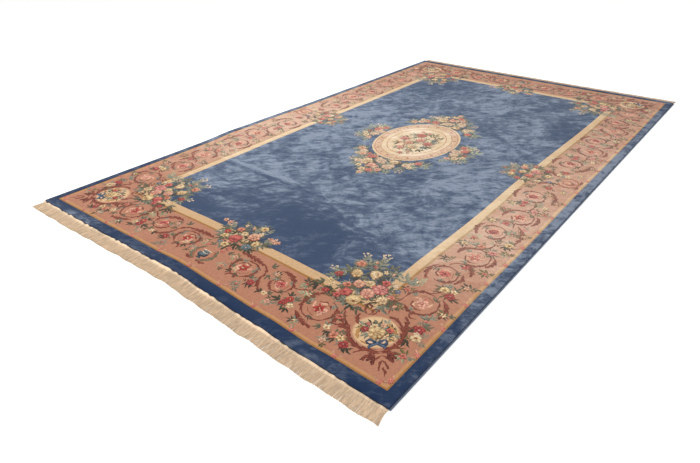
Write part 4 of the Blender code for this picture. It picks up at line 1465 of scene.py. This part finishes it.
class CARPET_OT_scrollwork(bpy.types.Operator):
    """Make the acanthus scrolls of the border, with the flowers they curl round"""

    bl_idname = "carpet.scrollwork"
    bl_label = "Scrollwork"

    def execute(self, context):
        bm, draw = bmesh.new(), random.Random(8)
        put_strokes(bm, BORDER_STROKES)
        for curl in CURLS:
            put_curl(bm, curl, draw)
        mirror(bm, across=True, along=True)
        finish_motifs(context, "scrollwork", bm)
        return {"FINISHED"}


class CARPET_OT_border_flowers(bpy.types.Operator):
    """Make the small flowers and leaves between the scrolls"""

    bl_idname = "carpet.border_flowers"
    bl_label = "Border flowers"

    def execute(self, context):
        bm, draw = bmesh.new(), random.Random(9)
        put_foliage(bm, BORDER_FLOWERS, draw, 3, LEAF_DYES)
        put_leaves(bm, BORDER_LEAVES, draw)
        put_sprigs(bm, draw)
        put_flowers(bm, BORDER_FLOWERS, draw)
        mirror(bm, across=True, along=True)
        finish_motifs(context, "border_flowers", bm)
        return {"FINISHED"}


class CARPET_OT_roundels(bpy.types.Operator):
    """Make the corner roundels: a posy with a bow, framed by acanthus"""

    bl_idname = "carpet.roundels"
    bl_label = "Roundels"

    def execute(self, context):
        bm, draw = bmesh.new(), random.Random(10)
        put_strokes(bm, ROUNDEL_STROKES)
        put_bouquet(bm, draw, ROUNDEL_LEAVES, ROUNDEL_FLOWERS, under=4, fill=0, holder=PALMETTES)
        mirror(bm, across=True, along=True)
        finish_motifs(context, "roundels", bm)
        return {"FINISHED"}


class CARPET_OT_bindings(bpy.types.Operator):
    """Make the ribbons bound round the staff at the edge of the border"""

    bl_idname = "carpet.bindings"
    bl_label = "Staff bindings"

    def execute(self, context):
        bm = bmesh.new()
        side, end = STAFF_MIDDLE

        def bind(x, y, turn, size=BINDING_SIZE):
            stamp(bm, "binding", (x, -y), size, turn, BINDING_DYES, 0.2)

        for y in BINDINGS_ALONG:
            bind(side, y, 270)
        for x in BINDINGS_ACROSS:
            bind(x, end, 0)
        bind(side - 0.004, end - 0.036, 290, CORNER_BINDING_SIZE)
        bind(side - 0.036, end - 0.004, -20, CORNER_BINDING_SIZE)
        mirror(bm, across=True)
        bind(0.0, end, 0)
        mirror(bm, along=True)
        finish_motifs(context, "staff_bindings", bm)
        return {"FINISHED"}


class CARPET_OT_medallion(bpy.types.Operator):
    """Make the medallion's raised rings and beads, its bouquet and the garlands round it"""

    bl_idname = "carpet.medallion"
    bl_label = "Medallion"

    def execute(self, context):
        sizes = context.scene.carpet_sizes
        wide, long = sizes.medallion_width, sizes.medallion_length
        bm = bmesh.new()
        for share, width, dye in RING_LINES:
            ring = oval_path(wide * share, long * share)
            strip(bm, ring, width, 0, dyed(dye), 0.8, 96, ends=0.02)
        beads = oval_path(wide * BEAD_OVAL, long * BEAD_OVAL)
        for i in range(BEADS):
            stamp(bm, "daisy", beads(i / BEADS), BEAD_SIZES[i % 2], i * 31, BEAD_DYES[i % 3])
        finish_motifs(context, "medallion_rings", bm)

        draw = random.Random(11)
        for name, leaves, flowers, under, under_dyes, fill, mirrored in (
            ("bouquet", MEDALLION_LEAVES, MEDALLION_FLOWERS, 4, BOUQUET_DYES, 0, {}),
            ("garlands", GARLAND_LEAVES, GARLAND_FLOWERS, 7, GARLAND_DYES, 3, {"along": True}),
            ("wings", WING_LEAVES, WING_FLOWERS, 6, GARLAND_DYES, 2, {"across": True}),
        ):
            bm = bmesh.new()
            put_bouquet(bm, draw, leaves, flowers, under, under_dyes, fill, GARLAND_FILL)
            mirror(bm, **mirrored, about=MEDALLION_CENTRE)
            finish_motifs(context, f"medallion_{name}", bm, MEDALLION_SHEEN)
        return {"FINISHED"}


# The pile

# How many lines its grid has over the crease, and how far under the top a point still counts as on it
CREASE_LINES = 16
TOP_MARGIN = 0.0002


def grid_lines(low, high, step, carved, close=()):
    """Even lines with three at each carved edge, and close ones over the crease."""
    special = [at + d * CARVED_HALF_WIDTH for at in carved for d in (-1, 0, 1)] + list(close)
    count = round((high - low) / step)
    even = [low + (high - low) * i / count for i in range(count + 1)]
    clear = [
        at
        for at in even
        if at in (even[0], even[-1]) or all(abs(at - s) > step * 0.3 for s in special)
    ]
    return sorted(clear + [s for s in special if low < s < high])


def pile_mesh(sizes):
    """The slab of cloth, flat: a grid with carved lines along the bands, and a rounded rim."""
    sides = [sign * band.side for band in BANDS for sign in (-1, 1)]
    ends = [sign * band.end for band in BANDS for sign in (-1, 1)]
    low, high = CREASE_ALONG
    close = [low + (high - low) * i / CREASE_LINES for i in range(CREASE_LINES + 1)]
    columns = grid_lines(-BODY_HALF_WIDTH, BODY_HALF_WIDTH, sizes.grid, sides)
    across = grid_lines(-HALF_LENGTH, HALF_LENGTH, sizes.grid, ends, close)
    bm = bmesh.new()
    bmesh.ops.create_grid(bm, x_segments=len(columns) - 1, y_segments=len(across) - 1, size=1.0)
    for vert in bm.verts:
        column = round((vert.co.x + 1) / 2 * (len(columns) - 1))
        row = round((vert.co.y + 1) / 2 * (len(across) - 1))
        vert.co = (columns[column], across[row], 0)
    underside = bm.faces[:]
    top = bmesh.ops.extrude_face_region(bm, geom=underside)["geom"]
    top_verts = [g for g in top if isinstance(g, bmesh.types.BMVert)]
    top_faces = {g for g in top if isinstance(g, bmesh.types.BMFace)}
    bmesh.ops.translate(bm, verts=top_verts, vec=(0, 0, THICKNESS))
    bmesh.ops.reverse_faces(bm, faces=underside)
    bmesh.ops.recalc_face_normals(bm, faces=bm.faces[:])
    rim = [e for e in bm.edges if len(top_faces.intersection(e.link_faces)) == 1]
    bmesh.ops.bevel(
        bm,
        geom=rim,
        offset=PILE_ROUNDING,
        segments=ROUNDING_STEPS,
        profile=0.5,
        affect="EDGES",
        material=-1,
    )
    cloth = bm.verts.layers.float_vector.new("cloth")
    for vert in bm.verts:
        light = float(nap_light(vert.co.x, vert.co.y))
        vert[cloth] = (vert.co.x, vert.co.y, light if vert.co.z > THICKNESS / 3 else UNDERSIDE)
    return mesh_of("pile", bm)


def carve(mesh):
    """Shears a fine line along each band's edge, and leaves the pile slightly uneven."""
    x, y, z = points_of(mesh).T
    depth = np.zeros_like(z)
    for band in BANDS:
        outside = np.maximum(np.abs(x) - band.side, np.abs(y) - band.end)
        depth = np.maximum(depth, CARVED * np.clip(1 - np.abs(outside) / CARVED_HALF_WIDTH, 0, 1))
    on_top = z > THICKNESS - TOP_MARGIN
    move_points(mesh, x, y, z + np.where(on_top, pile_wave(x, y) - depth, 0))


class CARPET_OT_pile(bpy.types.Operator):
    """Make the pile of the carpet, with its field, bands and grounds"""

    bl_idname = "carpet.pile"
    bl_label = "Pile"

    def execute(self, context):
        sizes = context.scene.carpet_sizes
        mesh = pile_mesh(sizes)
        carve(mesh)
        lay_down(mesh)
        material = pile_material(context.scene.carpet_colours, sizes)
        finish_piece("pile", mesh, material, ["carpet"])
        return {"FINISHED"}


# Sides and fringes


CORD_SIDES = 8
CORD_SHEEN = 0.62

# A cord's radius between two turns of its yarn, as a share of the radius on one
CORD_WAIST = 0.86


def wrapped_cord(sizes, side):
    """A cord with yarn wound round it, one ridge a turn: a long grid, rolled up."""
    radius = (CORD_HIGH.x - CORD_LOW.x) / 2
    rings = 2 * round(2 * HALF_LENGTH / sizes.wrap)
    start = end_line(side * HALF_WIDTH, -1)
    run = end_line(side * HALF_WIDTH, 1) - start
    middle = side * (HALF_WIDTH - radius)
    y = start + run * np.arange(rings + 1) / rings
    height = radius + lift(np.full(rings + 1, middle), y)
    bm = bmesh.new()
    bmesh.ops.create_grid(bm, x_segments=CORD_SIDES, y_segments=rings, size=1.0)
    for vert in bm.verts:
        ring = round((vert.co.y + 1) / 2 * rings)
        around = math.pi * vert.co.x
        ridge = radius * (1.0 if ring % 2 else CORD_WAIST)
        vert.co = (middle + ridge * math.sin(around), y[ring], height[ring] - ridge * math.cos(around))
    bmesh.ops.remove_doubles(bm, verts=bm.verts[:], dist=0.00005)
    bmesh.ops.holes_fill(bm, edges=bm.edges[:], sides=CORD_SIDES)
    bmesh.ops.recalc_face_normals(bm, faces=bm.faces[:])
    return mesh_of("side_wrap", bm)


class CARPET_OT_side_cords(bpy.types.Operator):
    """Make the wool-wrapped cord along each side"""

    bl_idname = "carpet.side_cords"
    bl_label = "Side cords"

    def execute(self, context):
        scene = context.scene
        # The cord's wool is its navy with a share of the nap's painted sheen added.
        colour = Vector(scene.carpet_colours.navy) + Vector(scene.carpet_colours.haze) * CORD_SHEEN
        material = yarn_material("cord wool", colour, 700)
        for side, place in ((-1, "left"), (1, "right")):
            mesh = wrapped_cord(scene.carpet_sizes, side)
            finish_piece(f"side_wrap_{place}", mesh, material, [f"side_cord_{place}"])
        return {"FINISHED"}


# The fringe: its woven heading, and the strands that run on from it
HEADING_DEPTH = 0.014
HEADING_HEIGHT = 0.003
HEADING_COLUMNS = 480
GAP_TO_CLOTH = 0.0006

# How much the heading stands up, and reaches over the cloth's end, where it is puffed
PUFF = 0.0105
OVERLAP = 0.0044

# The strands: how long each is and how that varies, how far apart they are and how thick a clump is
STRAND_LENGTH = 0.0715
SHORTEST, LONGEST = -0.0022, 0.0012
RAGGED = 0.0016
STRAND_PITCH = 0.00138
CLUMP = 0.0148

# A strand starts so far under the heading, comes down over a share of its length and rests on the floor
UNDER_HEADING = 0.008
LANDING = 0.42
RESTING = 0.0010
LAYER_RISE = 0.0012
STRAND_SHARES = (0.0, 0.16, 0.36, 0.60, 0.82, 1.0)

# How the strands lean: outwards at the corners, and apart at the partings
RIGHT_FLARE = 0.017
LEFT_FLARE = 0.004
FLARE_POWER = 13
PARTINGS = (-1.19, -0.71, -0.34, 0.08, 0.43, 0.97, 1.21)
PARTING_WIDTH = 0.0022
PARTING_REACH = 0.012


def clump_of(x):
    """The middle of the clump of strands that a strand belongs to, and a number from -1 to 1 of its own."""
    shift = 0.35 * math.sin(x * 37)
    number = round(x / CLUMP + shift)
    return (number - shift) * CLUMP, math.sin(number * 12.9898 + 4.1)


def strand_points(draw, x, facing, layer):
    """The points of one strand, from under the heading to its cut end."""
    middle, odd = clump_of(x)
    reach = STRAND_LENGTH + draw.uniform(SHORTEST, LONGEST) + RAGGED * (odd + math.sin(x * 47 + facing))
    lean = 0.0014 * math.sin(middle * 61 + 2 * facing) + 0.0007 * odd + draw.gauss(0, 0.0006)
    if layer:
        lean += 0.10 * (middle - x)
    lean += (RIGHT_FLARE if x > 0 else LEFT_FLARE) * (x / HALF_WIDTH) ** FLARE_POWER
    for parting in PARTINGS:
        away = x - parting
        if layer and facing < 0 and abs(away) < PARTING_REACH:
            lean += PARTING_WIDTH * math.copysign(1 - abs(away) / PARTING_REACH, away)
    curl = draw.uniform(-0.0009, 0.0009)
    base = end_line(x, facing)
    top = HEADING_HEIGHT * 0.55 + lift(x, base)
    points = []
    for share in STRAND_SHARES:
        rest = RESTING + layer * LAYER_RISE + 0.0004 * math.sin(x * 900 + share * 7)
        fall = max(0.0, 1 - share / LANDING) ** 2
        out = GAP_TO_CLOTH + UNDER_HEADING + (reach + HEADING_DEPTH - UNDER_HEADING) * share
        swing = lean * share**1.5 + curl * math.sin(share * math.pi * 1.5)
        points.append((x + swing, base + facing * out, rest + (top - rest) * fall))
    return points


def fringe_mesh(sizes, facing):
    """The strands of one fringe, with the twined heading that holds them."""
    draw = random.Random(31 if facing < 0 else 32)
    curve = bpy.data.curves.new("strands", "CURVE")
    curve.dimensions = "3D"
    curve.bevel_depth = sizes.strand / 2
    curve.bevel_resolution = 0
    curve.use_fill_caps = True
    span = BODY_HALF_WIDTH - sizes.strand
    count = round(2 * span / STRAND_PITCH)
    for i in range(count + 1):
        x = -span + 2 * span * i / count + draw.uniform(-0.0004, 0.0004)
        points = strand_points(draw, x, facing, i % 2)
        spline = curve.splines.new("POLY")
        spline.points.add(len(points) - 1)
        for point, place in zip(spline.points, points):
            point.co = (*place, 1.0)
    holder = bpy.data.objects.new("strands", curve)
    bpy.context.scene.collection.objects.link(holder)
    seen = holder.evaluated_get(bpy.context.evaluated_depsgraph_get())
    mesh = bpy.data.meshes.new_from_object(seen)
    bpy.data.objects.remove(holder)
    bpy.data.curves.remove(curve)
    bm = bmesh.new()
    bm.from_mesh(mesh)
    bpy.data.meshes.remove(mesh)
    bmesh.ops.remove_doubles(bm, verts=bm.verts[:], dist=0.00001)
    add_heading(bm, facing)
    bmesh.ops.recalc_face_normals(bm, faces=bm.faces[:])
    return mesh_of("fringe", bm)


def add_heading(bm, facing):
    """The twined rows across the warps: a strip of ridges side by side, puffed up here and there."""
    made = bmesh.ops.create_grid(bm, x_segments=HEADING_COLUMNS, y_segments=8, size=1.0)["verts"]
    span = BODY_HALF_WIDTH - 0.0005
    across = np.array([vert.co.x for vert in made])
    down = (np.array([vert.co.y for vert in made]) + 1) / 2
    x = across * span
    base = settled(x, np.full_like(x, facing * HALF_LENGTH))
    puff = 0.5 + 0.5 * np.sin(x * 71 + 2.6 * np.sin(x * 23)) * np.sin(x * 19 + facing)
    puff = puff * (0.70 - 0.30 * across)
    ridge = np.abs(np.sin(np.pi * down * 2.5))
    twine = 0.5 + 0.5 * np.sin(x * 900 + down * 6)
    edge = np.where((down < 0.01) | (down > 0.99), 0.0, 1.0)
    height = edge * (HEADING_HEIGHT * (0.62 + 0.30 * ridge + 0.10 * twine) + PUFF * puff * (1 - down))
    inner = GAP_TO_CLOTH - OVERLAP * puff * (1 - down) * edge
    y = base + facing * (inner + HEADING_DEPTH * down)
    z = height + lift(x, base)
    for vert, place in zip(made, zip(x, y, z)):
        vert.co = place


class CARPET_OT_fringes(bpy.types.Operator):
    """Make the cotton fringe at each end"""

    bl_idname = "carpet.fringes"
    bl_label = "Fringes"

    def execute(self, context):
        scene = context.scene
        material = yarn_material("fringe cotton", scene.carpet_colours.cotton, 520, 0.40)
        for facing, place in ((-1, "near"), (1, "far")):
            mesh = fringe_mesh(scene.carpet_sizes, facing)
            finish_piece(f"fringe_strands_{place}", mesh, material, [f"fringe_{place}"])
        return {"FINISHED"}


# The stage
CAMERA_PLACE = (2.137, -3.451, 1.624)
CAMERA_TARGET = (0.444, -1.382, 0.015)
CAMERA_ROLL = -0.695
FOCAL_PIXELS = 542.1
FRAME_WIDTH = 700
FLOOR_SIZE = 30.0
FLOOR_GLOW = 0.30
SKY_STRENGTH = 0.76
WHITE = (1.0, 1.0, 1.0, 1.0)

# Each lamp's place, size and power. It faces the middle of the carpet.
Lamp = namedtuple("Lamp", "name place size power")
LAMPS = (
    Lamp("window", (-4.0, -0.5, 4.5), 4.0, 180.0),
    Lamp("lamp", (3.5, -4.0, 4.5), 3.0, 50.0),
)


def stand(scene, name, data):
    """Puts a lamp, a camera or a mesh on the stage."""
    holder = bpy.data.objects.new(name, data)
    scene.collection.objects.link(holder)
    return holder


class CARPET_OT_stage(bpy.types.Operator):
    """Make the floor, the lights and the camera"""

    bl_idname = "carpet.stage"
    bl_label = "Stage"

    def execute(self, context):
        scene = context.scene
        bm = bmesh.new()
        bmesh.ops.create_grid(bm, x_segments=1, y_segments=1, size=FLOOR_SIZE)
        floor = stand(scene, "floor", mesh_of("floor", bm))
        white, _, shader = new_material("floor paint", 0.9, 0.0)
        shader.inputs["Base Color"].default_value = (0.93, 0.93, 0.93, 1.0)
        shader.inputs["Emission Color"].default_value = WHITE
        shader.inputs["Emission Strength"].default_value = FLOOR_GLOW
        floor.data.materials.append(white)

        world = bpy.data.worlds.new("studio")
        world.use_nodes = True
        sky = world.node_tree.nodes["Background"]
        sky.inputs["Color"].default_value = WHITE
        sky.inputs["Strength"].default_value = SKY_STRENGTH
        scene.world = world
        for lamp in LAMPS:
            light = bpy.data.lights.new(lamp.name, "AREA")
            light.size = lamp.size
            light.energy = lamp.power
            holder = stand(scene, lamp.name, light)
            holder.location = lamp.place
            holder.rotation_euler = (-Vector(lamp.place)).to_track_quat("-Z", "Y").to_euler()

        camera = bpy.data.cameras.new("camera")
        camera.sensor_width = 36.0
        camera.lens = FOCAL_PIXELS / FRAME_WIDTH * camera.sensor_width
        camera.clip_end = 100.0
        ahead = Vector(CAMERA_TARGET) - Vector(CAMERA_PLACE)
        roll = Matrix.Rotation(math.radians(CAMERA_ROLL), 4, "Z").to_quaternion()
        turn = ahead.to_track_quat("-Z", "Y") @ roll
        scene.camera = stand(scene, "camera", camera)
        scene.camera.matrix_world = Matrix.LocRotScale(Vector(CAMERA_PLACE), turn, None)
        scene.view_settings.view_transform = "Standard"
        return {"FINISHED"}


class CARPET_PT_sidebar(bpy.types.Panel):
    """Lists the carpet's sizes, colours and pieces"""

    bl_idname = "CARPET_PT_sidebar"
    bl_label = "Carpet"
    bl_space_type = "VIEW_3D"
    bl_region_type = "UI"
    bl_category = "Carpet"

    def draw(self, context):
        layout = self.layout
        for settings in (context.scene.carpet_sizes, context.scene.carpet_colours):
            for key in settings.bl_rna.properties.keys():
                if key not in ("rna_type", "name"):
                    layout.prop(settings, key)
        for operator in OPERATORS:
            layout.operator(operator.bl_idname)


OPERATORS = (
    CARPET_OT_pile,
    CARPET_OT_corner_bouquets,
    CARPET_OT_end_bouquets,
    CARPET_OT_side_bouquets,
    CARPET_OT_scrollwork,
    CARPET_OT_border_flowers,
    CARPET_OT_roundels,
    CARPET_OT_bindings,
    CARPET_OT_medallion,
    CARPET_OT_side_cords,
    CARPET_OT_fringes,
    CARPET_OT_stage,
)
CLASSES = (CarpetSizes, CarpetColours, *OPERATORS, CARPET_PT_sidebar)


def register():
    for cls in CLASSES:
        bpy.utils.register_class(cls)
    bpy.types.Scene.carpet_sizes = bpy.props.PointerProperty(type=CarpetSizes)
    bpy.types.Scene.carpet_colours = bpy.props.PointerProperty(type=CarpetColours)


def unregister():
    del bpy.types.Scene.carpet_colours
    del bpy.types.Scene.carpet_sizes
    for cls in reversed(CLASSES):
        bpy.utils.unregister_class(cls)


def main():
    register()
    shared_groups()
    keep_shapes()
    for operator in OPERATORS:
        area, name = operator.bl_idname.split(".")
        getattr(getattr(bpy.ops, area), name)()


if __name__ == "__main__":
    main()
